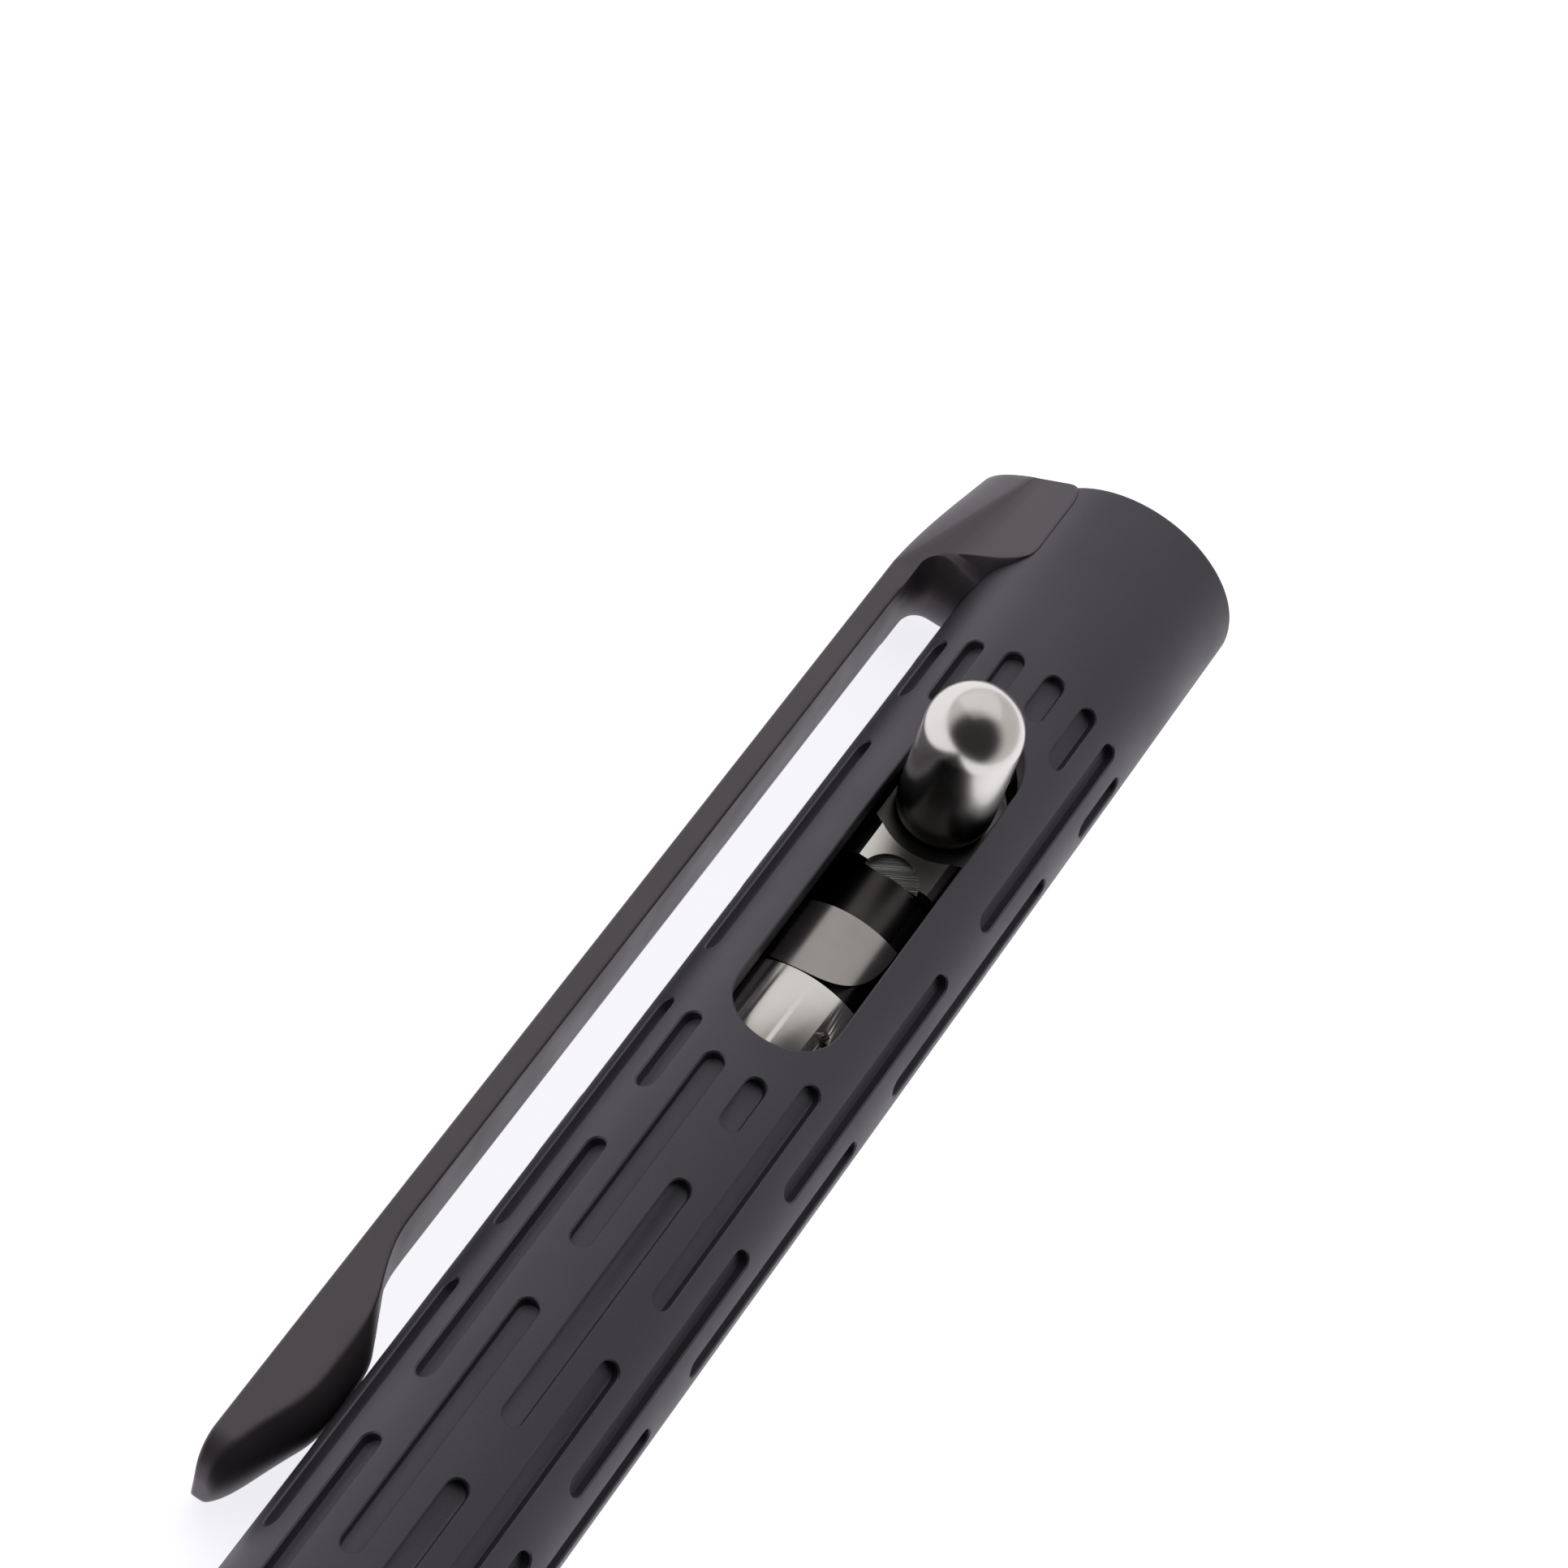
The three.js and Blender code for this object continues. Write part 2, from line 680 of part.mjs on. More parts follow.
// Skin a row of four-cornered outlines that turn about the pen's axis, and cap both ends.
function bandAround(outlines) {
  const corners = outlines.flat();
  const count = outlines[0].length;
  const faces = [];
  for (let s = 0; s + 1 < outlines.length; s += 1) {
    for (let i = 0; i < count; i += 1) {
      const a = s * count + i;
      const b = s * count + ((i + 1) % count);
      faces.push(a, b + count, b, a, a + count, b + count);
    }
  }
  const last = corners.length - count;
  faces.push(0, 1, 2, 0, 2, 3, last, last + 2, last + 1, last, last + 3, last + 2);
  const geometry = new THREE.BufferGeometry().setFromPoints(corners);
  geometry.setIndex(faces);
  return geometry;
}

function camCrown() {
  const bore = stemDiameter / 2 + fitGap;
  const hub = crownHubDiameter / 2;
  const rear = carriageFront + seatGap;
  const ring = tube(
    [
      [rear, hub],
      [crownTip - seatGap, hub],
    ],
    [
      [rear, bore],
      [crownTip - seatGap, bore],
    ],
  );
  const lobes = Array.from({ length: crownLobeCount }, (_, i) =>
    crownLobe(crownLobeTurn + (i * 2 * Math.PI) / crownLobeCount),
  );
  return joinAll(solid(ring), lobes);
}

// Cross section of the guide sleeve: a ring with a groove for each lug.
function sleeveSection() {
  const shape = new THREE.Shape().absarc(0, 0, counterboreDiameter / 2 - fitGap / 2, 0, Math.PI * 2);
  const land = sleeveBoreDiameter / 2;
  const groove = sleeveGrooveDiameter / 2;
  const pitch = (Math.PI * 2) / rotorLugCount;
  const points = [];
  for (let lug = 0; lug < rotorLugCount; lug += 1) {
    const middle = lug * pitch;
    for (let i = 0; i <= sleeveGrooveSteps; i += 1) {
      const angle = middle + (i / sleeveGrooveSteps - 1 / 2) * sleeveGrooveAngle;
      points.push(new THREE.Vector2(groove * Math.cos(angle), groove * Math.sin(angle)));
    }
    for (let i = 0; i <= sleeveLandSteps; i += 1) {
      const angle = middle + sleeveGrooveAngle / 2 + (i / sleeveLandSteps) * (pitch - sleeveGrooveAngle);
      points.push(new THREE.Vector2(land * Math.cos(angle), land * Math.sin(angle)));
    }
  }
  shape.holes.push(new THREE.Path(points));
  return shape;
}

function guideSleeve() {
  const sides = { depth: sleeveLength, steps: sleeveTwistSteps, bevelEnabled: false, curveSegments: tinySides };
  const geometry = new THREE.ExtrudeGeometry(sleeveSection(), sides);
  return solid(twist(geometry.rotateY(towardsClip).translate(sleeveRear, 0, 0)));
}

// One lug of the rotor, twisted like the sleeve's grooves.
function rotorLug(turn) {
  const inner = (rotorSkirtDiameter + rotorCupDiameter) / 4;
  const outer = rotorLugDiameter / 2;
  const points = [-1, 1].flatMap((side) => {
    const angle = turn + (side * rotorLugAngle) / 2;
    return [inner, outer].map((radius) => [radius * Math.cos(angle), radius * Math.sin(angle)]);
  });
  const [a, b, c, d] = points.map(([x, y]) => new THREE.Vector2(x, y));
  const lug = alongPen(new THREE.Shape([a, b, d, c]), lugRear, lugRear + rotorLugLength, lugTwistSteps);
  return twist(lug);
}

function camRotor() {
  const head = rotorDiameter / 2;
  const skirt = rotorSkirtDiameter / 2;
  const cup = rotorCupDiameter / 2;
  const body = turned([
    [rotorRear, 0],
    [rotorRear, head],
    [rotorRear + rotorHeadLength, head],
    [rotorRear + rotorHeadLength, skirt],
    [rotorFront, skirt],
    [rotorFront, cup],
    [rotorRear + rotorWebLength, cup],
    [rotorRear + rotorWebLength, 0],
  ]);
  const lugs = Array.from({ length: rotorLugCount }, (_, i) => rotorLug((i * 2 * Math.PI) / rotorLugCount));
  const markFloor = head - rotorMarkDepth;
  const mark = radialPin(
    rotorRear + rotorMarkPlace,
    rotorMarkTurn,
    markFloor,
    head + overrun,
    rotorMarkDiameter / 2,
  );
  return cutAll(joinAll(solid(body), lugs), [mark]);
}

function refillTube() {
  const outer = refillDiameter / 2;
  const inner = outer - refillWall;
  return solid(
    tube(
      [
        [tubeRear + seatGap, outer],
        [tubeFront, outer],
      ],
      [
        [tubeRear + seatGap, inner],
        [tubeFront, inner],
      ],
    ),
  );
}

function refillTailPlug() {
  const outer = refillDiameter / 2;
  const stub = outer - refillWall - fitGap;
  const profile = [
    [refillTail, 0],
    [refillTail, outer],
    [tubeRear, outer],
    [tubeRear, stub],
    [tubeRear + tailPlugStub, stub],
    [tubeRear + tailPlugStub, 0],
  ];
  return solid(turned(profile));
}

function inkColumn() {
  const radius = refillDiameter / 2 - refillWall - fitGap;
  const front = tubeFront - refillNoseStub - inkFront;
  const room = front - tubeRear - tailPlugStub;
  return solid(turned(rod(front - inkShare * room, front, radius), smallSides));
}

function refillNose() {
  const outer = refillDiameter / 2;
  const stub = outer - refillWall - fitGap;
  const nose = refillNoseDiameter / 2;
  const feed = refillFeedDiameter / 2;
  const pointBore = refillPointStubDiameter / 2 + fitGap;
  const boreFloor = pointShoulder - refillPointStub - seatGap;
  return solid(
    tube(
      [
        [tubeFront - refillNoseStub, stub],
        [tubeFront + seatGap, stub],
        [tubeFront + seatGap, outer],
        [noseShoulder, outer],
        [noseShoulder, nose],
        [pointShoulder - seatGap, nose],
      ],
      [
        [tubeFront - refillNoseStub, feed],
        [boreFloor, feed],
        [boreFloor, pointBore],
        [pointShoulder - seatGap, pointBore],
      ],
      smallSides,
    ),
  );
}

function refillPoint() {
  const stub = refillPointStubDiameter / 2;
  const outer = refillPointDiameter / 2;
  const socket = writingBallDiameter / 2 + ballSocketGap;
  const lip = socket + socketWall;
  const front = refillTip - writingBallDiameter / 2;
  const socketFloor = refillTip - writingBallDiameter - ballSocketGap;
  const feed = pointFeedDiameter / 2;
  const rear = pointShoulder - refillPointStub;
  return solid(
    tube(
      [
        [rear, stub],
        [pointShoulder, stub],
        [pointShoulder, outer],
        [front - refillPointTaper, outer],
        [front, lip],
      ],
      [
        [rear, feed],
        [socketFloor, feed],
        [socketFloor, socket],
        [front, socket],
      ],
      smallSides,
    ),
  );
}

function writingBall() {
  const radius = writingBallDiameter / 2;
  const ball = new THREE.SphereGeometry(radius, tinySides, ringSides);
  return solid(ball.translate(refillTip - radius, 0, 0));
}

// The centre line of the return spring.
class SpringLine extends THREE.Curve {
  getPoint(share) {
    const angle = share * springTurns * 2 * Math.PI;
    const radius = (springDiameter - springWire) / 2;
    const length = springFront - springRear - springWire;
    const place = springRear + springWire / 2 + length * share;
    return new THREE.Vector3(place, radius * Math.cos(angle), radius * Math.sin(angle));
  }
}

function returnSpring() {
  const points = Array.from({ length: springWireSides }, (_, i) => {
    const angle = (i * 2 * Math.PI) / springWireSides;
    return new THREE.Vector2(Math.cos(angle), Math.sin(angle)).multiplyScalar(springWire / 2);
  });
  const geometry = new THREE.ExtrudeGeometry(new THREE.Shape(points), {
    steps: springTurns * springStepsPerTurn,
    bevelEnabled: false,
    extrudePath: new SpringLine(),
  });
  return solid(geometry);
}

// The nose's outside tapers along a gentle curve to the metal tip.
function noseOutline() {
  const points = [[noseRear, barrelRadius]];
  const from = noseRear + noseStraight;
  const to = tipRear - seatGap;
  for (let i = 0; i <= noseCurveSteps; i += 1) {
    const share = i / noseCurveSteps;
    const radius = THREE.MathUtils.lerp(barrelRadius, noseFrontDiameter / 2, share * share);
    points.push([THREE.MathUtils.lerp(from, to, share), radius]);
  }
  return points;
}

function noseSection() {
  const spigotRear = barrelLength - noseSpigotLength;
  const spigot = noseSpigotDiameter / 2;
  const bore = noseBoreDiameter / 2;
  const tipBore = noseTipStubDiameter / 2 + fitGap;
  const step = tipRear - noseTipStub - seatGap - seatGap;
  const body = tube(
    [[spigotRear, spigot], [noseRear, spigot], ...noseOutline()],
    [
      [spigotRear, bore],
      [step, bore],
      [step, tipBore],
      [tipRear - seatGap, tipBore],
    ],
  );
  return cutAll(solid(body), [ringGroove(barrelLength - noseRingPlace, noseRingDiameter)]);
}

function noseTip() {
  const stub = noseTipStubDiameter / 2;
  const clear = noseTipClearDiameter / 2;
  const hole = noseTipHoleDiameter / 2;
  const holeRear = penLength - noseTipHoleLength;
  return solid(
    tube(
      [
        [tipRear - noseTipStub, stub],
        [tipRear, stub],
        [tipRear, noseFrontDiameter / 2],
        [penLength, noseTipFrontDiameter / 2],
      ],
      [
        [tipRear - noseTipStub, clear],
        [holeRear, clear],
        [holeRear, hole],
        [penLength, hole],
      ],
    ),
  );
}

// Blasted, anodised aluminium of the barrel and nose.
function anodisedAluminium() {
  return new THREE.MeshStandardMaterial({ color: "#4a474c", roughness: 0.6, metalness: 0.6 });
}

// Blasted, darkened metal of the clip.
function blastedClipMetal() {
  return new THREE.MeshStandardMaterial({ color: "#474341", roughness: 0.62, metalness: 0.6 });
}

// Turned stainless steel of the mechanism.
function turnedSteel() {
  return new THREE.MeshStandardMaterial({ color: "#b9b6b2", roughness: 0.3, metalness: 1 });
}

function brass() {
  return new THREE.MeshStandardMaterial({ color: "#b99a5b", roughness: 0.35, metalness: 1 });
}

function springSteel() {
  return new THREE.MeshStandardMaterial({ color: "#a5a6a8", roughness: 0.35, metalness: 1 });
}

function sealRubber() {
  return new THREE.MeshStandardMaterial({ color: "#1c1c1d", roughness: 0.8, metalness: 0 });
}

function refillPlastic() {
  return new THREE.MeshStandardMaterial({ color: "#33383f", roughness: 0.5, metalness: 0 });
}

function inkPaste() {
  return new THREE.MeshStandardMaterial({ color: "#15192b", roughness: 0.25, metalness: 0 });
}

const pen = new THREE.Group();

function addPart(name, body, material) {
  const geometry = body instanceof THREE.BufferGeometry ? body : geometryOf(body);
  const mesh = new THREE.Mesh(geometry, material);
  mesh.name = name;
  pen.add(mesh);
}

addPart("barrel", barrel(), anodisedAluminium());
addPart("rear_plug", rearPlug(), turnedSteel());
addPart("rear_plug_o_ring", sealRing(plugRingPlace, plugRingDiameter), sealRubber());
addPart("clip", clip(), blastedClipMetal());
clipScrewPlaces.forEach((place, i) => addPart(`clip_screw_${i + 1}`, clipScrew(place), turnedSteel()));
addPart("guide_sleeve", guideSleeve(), brass());
addPart("bolt_knob", boltKnob(), turnedSteel());
addPart("bolt_carriage", boltCarriage(), turnedSteel());
addPart("cam_crown", camCrown(), turnedSteel());
addPart("cam_rotor", camRotor(), turnedSteel());
addPart("refill_tail_plug", refillTailPlug(), refillPlastic());
addPart("refill_tube", refillTube(), brass());
addPart("ink_column", inkColumn(), inkPaste());
addPart("refill_nose", refillNose(), brass());
addPart("refill_point", refillPoint(), turnedSteel());
addPart("writing_ball", writingBall(), turnedSteel());
addPart("return_spring", returnSpring(), springSteel());
addPart("nose_section", noseSection(), anodisedAluminium());
addPart("nose_tip", noseTip(), turnedSteel());
addPart("nose_o_ring", sealRing(barrelLength - noseRingPlace, noseRingDiameter), sealRubber());

// The pen lies on its barrel and on the outer edge of its clip.
const clipEdgeRadius = Math.hypot(clipHeight, clipWidth / 2);
const clipEdgeAngle = towardsClip + Math.atan2(clipWidth / 2, clipHeight);
const restAngle = clipEdgeAngle + Math.acos(barrelFlatRadius / clipEdgeRadius);
pen.rotation.x = -towardsClip - restAngle;

const group = new THREE.Group();
group.add(pen);
group.updateMatrixWorld(true);
const box = new THREE.Box3().setFromObject(group, true);
const middle = box.getCenter(new THREE.Vector3());
pen.position.set(-middle.x, -middle.y, -box.min.z);

export default group;
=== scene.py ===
"""Dresses a bolt action pen: blasted barrel and clip, turned steel bolt, and a white studio."""
import math

import bmesh
import bpy
from mathutils import Matrix, Vector


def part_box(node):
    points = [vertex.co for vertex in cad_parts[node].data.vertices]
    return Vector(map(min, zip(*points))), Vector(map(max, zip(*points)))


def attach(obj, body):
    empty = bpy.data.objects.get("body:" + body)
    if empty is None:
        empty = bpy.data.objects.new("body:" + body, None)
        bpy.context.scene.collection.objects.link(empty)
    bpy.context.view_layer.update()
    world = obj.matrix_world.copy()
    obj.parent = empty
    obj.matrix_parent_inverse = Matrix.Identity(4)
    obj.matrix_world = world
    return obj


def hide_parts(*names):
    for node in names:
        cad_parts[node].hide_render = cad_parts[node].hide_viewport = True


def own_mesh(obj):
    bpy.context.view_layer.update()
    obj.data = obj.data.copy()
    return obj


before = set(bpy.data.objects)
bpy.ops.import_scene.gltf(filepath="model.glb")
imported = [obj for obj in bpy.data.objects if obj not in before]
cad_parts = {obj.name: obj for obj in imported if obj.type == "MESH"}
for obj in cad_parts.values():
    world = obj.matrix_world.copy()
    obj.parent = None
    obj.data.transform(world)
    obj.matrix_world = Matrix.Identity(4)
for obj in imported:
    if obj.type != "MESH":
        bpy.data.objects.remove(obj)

bl_info = {
    "name": "Bolt Action Pen",
    "version": (1, 0, 0),
    "blender": (4, 5, 0),
    "location": "3D View > Sidebar > Bolt Pen",
    "description": "Builds the pen's visible pieces around its solid model, with their finishes",
    "category": "Object",
}

MM = 0.001
QUARTER = math.pi / 2
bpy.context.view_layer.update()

# Clearances of the solid model: between faces that seat on each other, and round a shank or stub
SEAT_GAP = 0.3 * MM
FIT_GAP = 0.15 * MM

# How far a cutter reaches past what it cuts, and how near to a size a face counts as lying on it
OVERRUN = 1 * MM
NEAR = 0.01 * MM

BARREL_LOW, BARREL_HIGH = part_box("barrel")
TIP_LOW, TIP_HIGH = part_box("nose_tip")
AXIS_PLACE = Vector((BARREL_LOW.x, (TIP_LOW.y + TIP_HIGH.y) / 2, (TIP_LOW.z + TIP_HIGH.z) / 2))
ALONG = Vector((1, 0, 0))
ACROSS = Vector((0, 1, 1))


def slot_direction():
    """The way the knob points, from the top of its solid."""
    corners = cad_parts["bolt_knob"].data.vertices
    spokes = [(corner.co - AXIS_PLACE) * ACROSS for corner in corners]
    return max(spokes, key=lambda spoke: spoke.length).normalized()


def pen_matrix():
    """From the pen's frame to the model's: X to the tip, Y out of the slot and Z to the clip."""
    outward = slot_direction()
    to_clip = ALONG.cross(outward)
    turn = Matrix((ALONG, outward, to_clip)).transposed().to_4x4()
    return Matrix.Translation(AXIS_PLACE) @ turn


PEN = pen_matrix()


def extent(name):
    """Where a solid begins and ends along the pen, from the barrel's rear end."""
    low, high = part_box(name)
    return low.x - AXIS_PLACE.x, high.x - AXIS_PLACE.x


def to_linear(hex_code):
    """Linear RGB from an sRGB hex colour."""
    channels = [int(hex_code[i : i + 2], 16) / 255 for i in (1, 3, 5)]
    return [c / 12.92 if c <= 0.04045 else ((c + 0.055) / 1.055) ** 2.4 for c in channels]


def size(name, description, millimetres):
    """A length property with its default in millimetres."""
    return bpy.props.FloatProperty(
        name=name, description=description, default=millimetres * MM, unit="LENGTH", precision=5
    )


def colour(name, description, hex_code):
    """A colour property with its default as an sRGB hex colour."""
    return bpy.props.FloatVectorProperty(
        name=name, description=description, default=to_linear(hex_code), subtype="COLOR", size=3
    )


def number(name, description, value, **kind):
    """A plain number property, or one of the given unit or subtype."""
    return bpy.props.FloatProperty(name=name, description=description, default=value, **kind)


def triple(name, description, values, **kind):
    """A property of three numbers, of the given unit or subtype."""
    return bpy.props.FloatVectorProperty(name=name, description=description, default=values, **kind)


def whole_number(name, description, value):
    """A whole number property."""
    return bpy.props.IntProperty(name=name, description=description, default=value)


class BarrelSettings(bpy.types.PropertyGroup):
    """Sizes and finish of the barrel."""

    diameter: size("Diameter", "Outer diameter of the barrel", 11)
    bore: size("Bore", "Diameter of the bore behind the guide sleeve", 8.2)
    counterbore: size("Counterbore", "Diameter of the bore from the guide sleeve forward", 9.1)
    chamfer: size("Chamfer", "Chamfer round the barrel's rear end", 0.2)
    edge: size("Edge", "Width of the broken edge round slot and grooves", 0.07)
    groove_columns: whole_number("Groove columns", "Number of grooves round the barrel", 16)
    groove_width: size("Groove width", "Width of a milled groove", 1)
    groove_depth: size("Groove depth", "Depth of a milled groove at its middle", 0.5)
    groove_length: size("Groove length", "Length of a full groove", 13.5)
    groove_pitch: size("Groove pitch", "Distance from one ring of grooves to the next", 16.6)
    groove_first: size("First groove", "Where the first ring of grooves begins", 10.95)
    groove_last: size("Last groove", "Where the last ring of grooves ends", 107)
    even_ring: size("Even ring", "Where a full groove begins in every second column", 17.75)
    odd_ring: size("Odd ring", "Where a full groove begins in the other columns", 26.05)
    groove_fillet: size("Groove fillet", "Radius at the foot of a groove's wall", 0.12)
    slot_width: size("Slot width", "Width of the bolt slot", 5)
    slot_start: size("Slot start", "Rear end of the bolt slot", 14.6)
    slot_length: size("Slot length", "Length of the bolt slot", 20.35)
    near_rear: size("Near rear", "Where the grooves in line with the slot end behind it", 13.65)
    near_front: size(
        "Near front", "Where the grooves in line with the slot begin ahead of it", 36.67
    )
    beside_rear: size("Beside rear", "Where the grooves beside the slot end behind it", 15.0)
    beside_front: size("Beside front", "Where the grooves beside the slot begin ahead of it", 35.1)
    slot_side_margin: size("Slot side margin", "Plain land left beside the slot", 0.5)
    tint: colour("Colour", "Dark grey of the blasted and anodised aluminium", "#58545b")


class NoseSettings(bpy.types.PropertyGroup):
    """Sizes of the nose section and its metal tip."""

    straight: size("Straight", "Straight length at the rear of the nose", 5)
    front: size("Front", "Diameter where the nose meets the metal tip", 6.4)
    spigot: size("Spigot", "Diameter of the spigot that goes into the barrel", 8.8)
    ring_depth: size("Ring depth", "How deep the seal's groove lies under its outside", 0.8)
    ring_play: size("Ring play", "Room for the seal before and behind it", 0.1)
    bore: size("Bore", "Diameter of the nose's bore", 6.4)
    throat: size("Throat", "Diameter of the narrow bore that holds the tip", 5.3)
    throat_length: size("Throat length", "Length of that narrow bore", 3)
    tip_stub: size("Tip stub", "Diameter of the tip's stub in the nose", 5)
    tip_clear: size("Tip clearance bore", "Diameter of the tip's bore behind its mouth", 3.7)
    tip_mouth: size("Tip mouth", "Diameter of the hole that the point comes out of", 2.7)
    tip_mouth_length: size("Tip mouth length", "Length of that hole", 2.6)
    tip_end: size("Tip end", "Diameter of the tip's flat front face", 3.6)
    tip_round: size("Tip rounding", "Radius round the tip's front face", 0.2)
    tip_gap: size("Tip gap", "Gap between the nose and the tip's shoulder", 0.03)


class ClipSettings(bpy.types.PropertyGroup):
    """Sizes and finish of the clip."""

    width: size("Width", "Width of the arm", 4.7)
    thickness: size("Thickness", "Thickness of the arm", 1.1)
    height: size("Height", "Outer face of the arm above the pen's axis", 8.83)
    head_height: size("Head height", "Top of the head at its rear end", 8.12)
    head_flat: size("Head flat", "Width of the flat on top of the head's rear end", 0.6)
    shoulder_width: size("Shoulder width", "Width of the head where its top begins to round", 5.88)
    shoulder_height: size("Shoulder height", "Height at which the head's top begins to round", 5.82)
    flank_foot: size("Flank foot", "Height of the flanks' lower edge above the axis", 3.49)
    flank_foot_width: size("Flank foot width", "Width of the head at the flanks' lower edge", 8.62)
    ramp: size("Ramp", "Length over which the head turns into the arm", 7.9)
    rear_corner: size("Rear corner", "Rounding of the flanks' rear corner", 1.2)
    slot_end: size("Slot end", "Where the gap under the arm ends at the head", 7.5)
    slot_corner: size("Slot corner", "Radius between that end and the arm's underside", 1.1)
    slot_flare: size("Slot flare", "How much further back the gap reaches at its sides", 1.6)
    shadow_gap: size("Shadow gap", "Gap between the head and the barrel", 0.02)
    length: size("Length", "Length of the clip", 63.5)
    tip_radius: size("Tip radius", "Radius of the tip's corners", 1.8)
    tip_round: size("Tip round", "How much the tip thins over that radius", 0.5)
    edge: size("Edge", "Radius of the clip's edges", 0.18)
    tint: colour("Colour", "Dark warm grey of the blasted clip", "#625b60")


class BoltSettings(bpy.types.PropertyGroup):
    """Sizes and finish of the knob and what it carries."""

    place: size("Place", "Where the knob stands, from the barrel's rear end", 18.64)
    diameter: size("Diameter", "Diameter of the knob", 4.52)
    height: size("Height", "Top of the knob above the pen's axis", 11.6)
    foot: size("Foot", "Diameter of the knob's underside", 3.9)
    foot_height: size("Foot height", "Height of the foot's rounding", 1.3)
    seat: size("Seat", "Height of the knob's milled seat above the axis", 2.85)
    seat_diameter: size("Seat diameter", "Diameter of the cutter that milled the knob's seat", 6)
    seat_gap: size("Seat gap", "Gap between the knob and its seat", 0.03)
    tail: size("Tail", "Length of the carriage behind the knob's axis", 5.14)
    lead: size("Lead", "Length of the carriage ahead of the knob's axis", 4.46)
    body: size("Body", "Diameter of the carriage", 7.3)
    land: size("Land", "Diameter of the carriage's guide land", 7.9)
    land_length: size("Land length", "Length of the guide land", 1)
    flat: size("Flat", "Height of the carriage's flat above the axis", 3.2)
    stem: size("Stem", "Diameter of the stem that carries the crown", 3.2)
    pocket_half: size("Pocket half width", "Half width of the half-moon cut", 1.35)
    pocket_reach: size("Pocket reach", "Length of the half-moon cut", 1.1)
    pocket_depth: size("Pocket depth", "Depth of the half-moon cut", 0.55)
    hub: size("Hub", "Diameter of the crown's hub", 5.8)
    crown: size("Crown", "Diameter over the crown's lobes", 7.7)
    neck: size("Neck", "Length of the neck behind the lobes", 3.3)
    crown_gap: size("Crown gap", "Gap between the carriage and the crown", 0.05)
    lobe: size("Lobe", "How far a lobe stands forward", 3.7)
    lobe_least: size("Lobe least", "How far it still stands forward at its ends", 0.15)
    lobe_root: size("Lobe root", "How deep it reaches into the hub", 0.5)
    stud: size("Stud", "Diameter of the stud under the knob", 2.5)
    stud_length: size("Stud length", "Length of that stud", 4.4)
    stud_hole: size("Stud hole", "Diameter of the stud's hole in the carriage", 2.8)
    stud_hole_depth: size("Stud hole depth", "Depth of that hole under the seat", 4.7)


class InnerSettings(bpy.types.PropertyGroup):
    """Sizes of the turning cup, the refill's point and the return spring."""

    cup: size("Cup", "Diameter of the turning cup's head", 7.7)
    cup_length: size("Cup length", "Length of that head", 5.8)
    cup_set_back: size("Cup set back", "How much further back the cup's rear face stands", 0.25)
    skirt: size("Skirt", "Diameter of the cup's skirt", 7.2)
    skirt_bore: size("Skirt bore", "Diameter inside the skirt", 6.3)
    web: size("Web", "Thickness of the cup's closed end", 4.8)
    cup_edge: size("Cup edge", "Radius of the cup's edges", 0.08)
    mark: size("Mark", "Diameter of the small drilled mark on the cup", 0.8)
    mark_place: size("Mark place", "Where the mark is, from the cup's rear face", 2.05)
    mark_floor: size("Mark floor", "Height of the mark's floor above the axis", 3.05)
    point: size("Point", "Diameter of the refill's point", 2.3)
    point_taper: size("Point taper", "Length of the point's tapered end", 1.6)
    point_stub: size("Point stub", "Diameter of the point's stub", 1.8)
    point_stub_length: size("Point stub length", "Length of that stub", 3.2)
    point_lip: size("Point lip", "Thickness of the lip round the ball", 0.12)
    feed: size("Feed", "Diameter of the ink's way to the ball", 0.4)
    ball_play: size("Ball play", "Room round the ball in its socket", 0.05)
    wire: size("Wire", "Diameter of the spring's wire", 0.4)
    coil: size("Coil", "Diameter of the spring at the middle of its wire", 4)
    turns: whole_number("Turns", "Turns of the spring", 8)
    stroke: size("Stroke", "How far the refill comes forward and presses the spring", 10)


class FinishSettings(bpy.types.PropertyGroup):
    """Colours of the steel, brass, rubber, plastic and ink."""

    steel: colour("Steel", "Warm white of turned stainless steel", "#d4d0cb")
    # Painted shade: the crown deep in the slot is drawn a darker grey, and its neck near black
    crown_shade: colour("Shaded crown steel", "Darker grey painted on the crown for the shade it lies in", "#9b9693")
    neck_shade: colour("Shaded neck steel", "Near black painted on the crown's neck for its shade", "#423f3e")
    milled: colour("Milled steel", "Grey of the half-moon cut's milled floor", "#8b8a89")
    # Painted shade: the knob's shadow on its seat, drawn as a darker grey steel
    seat_shadow: colour("Seat shadow steel", "Dark grey painted on the knob's seat for the knob's shadow", "#5c5957")
    brass: colour("Brass", "Soft yellow of turned brass", "#b99a5b")
    wire: colour("Spring wire", "Cool grey of drawn wire", "#b4b5b8")
    rubber: colour("Rubber", "Black of the sealing rings", "#1c1c1d")
    plug: colour("Refill plug", "Slate grey of the refill's plug", "#33383f")
    ink: colour("Ink", "Blue black of the ink", "#15192b")


# The camera's turn about X, Y and Z, from a camera that was fitted to the picture
CAMERA_TURN = [math.radians(angle) for angle in (19.641405, -28.815479, 126.070485)]


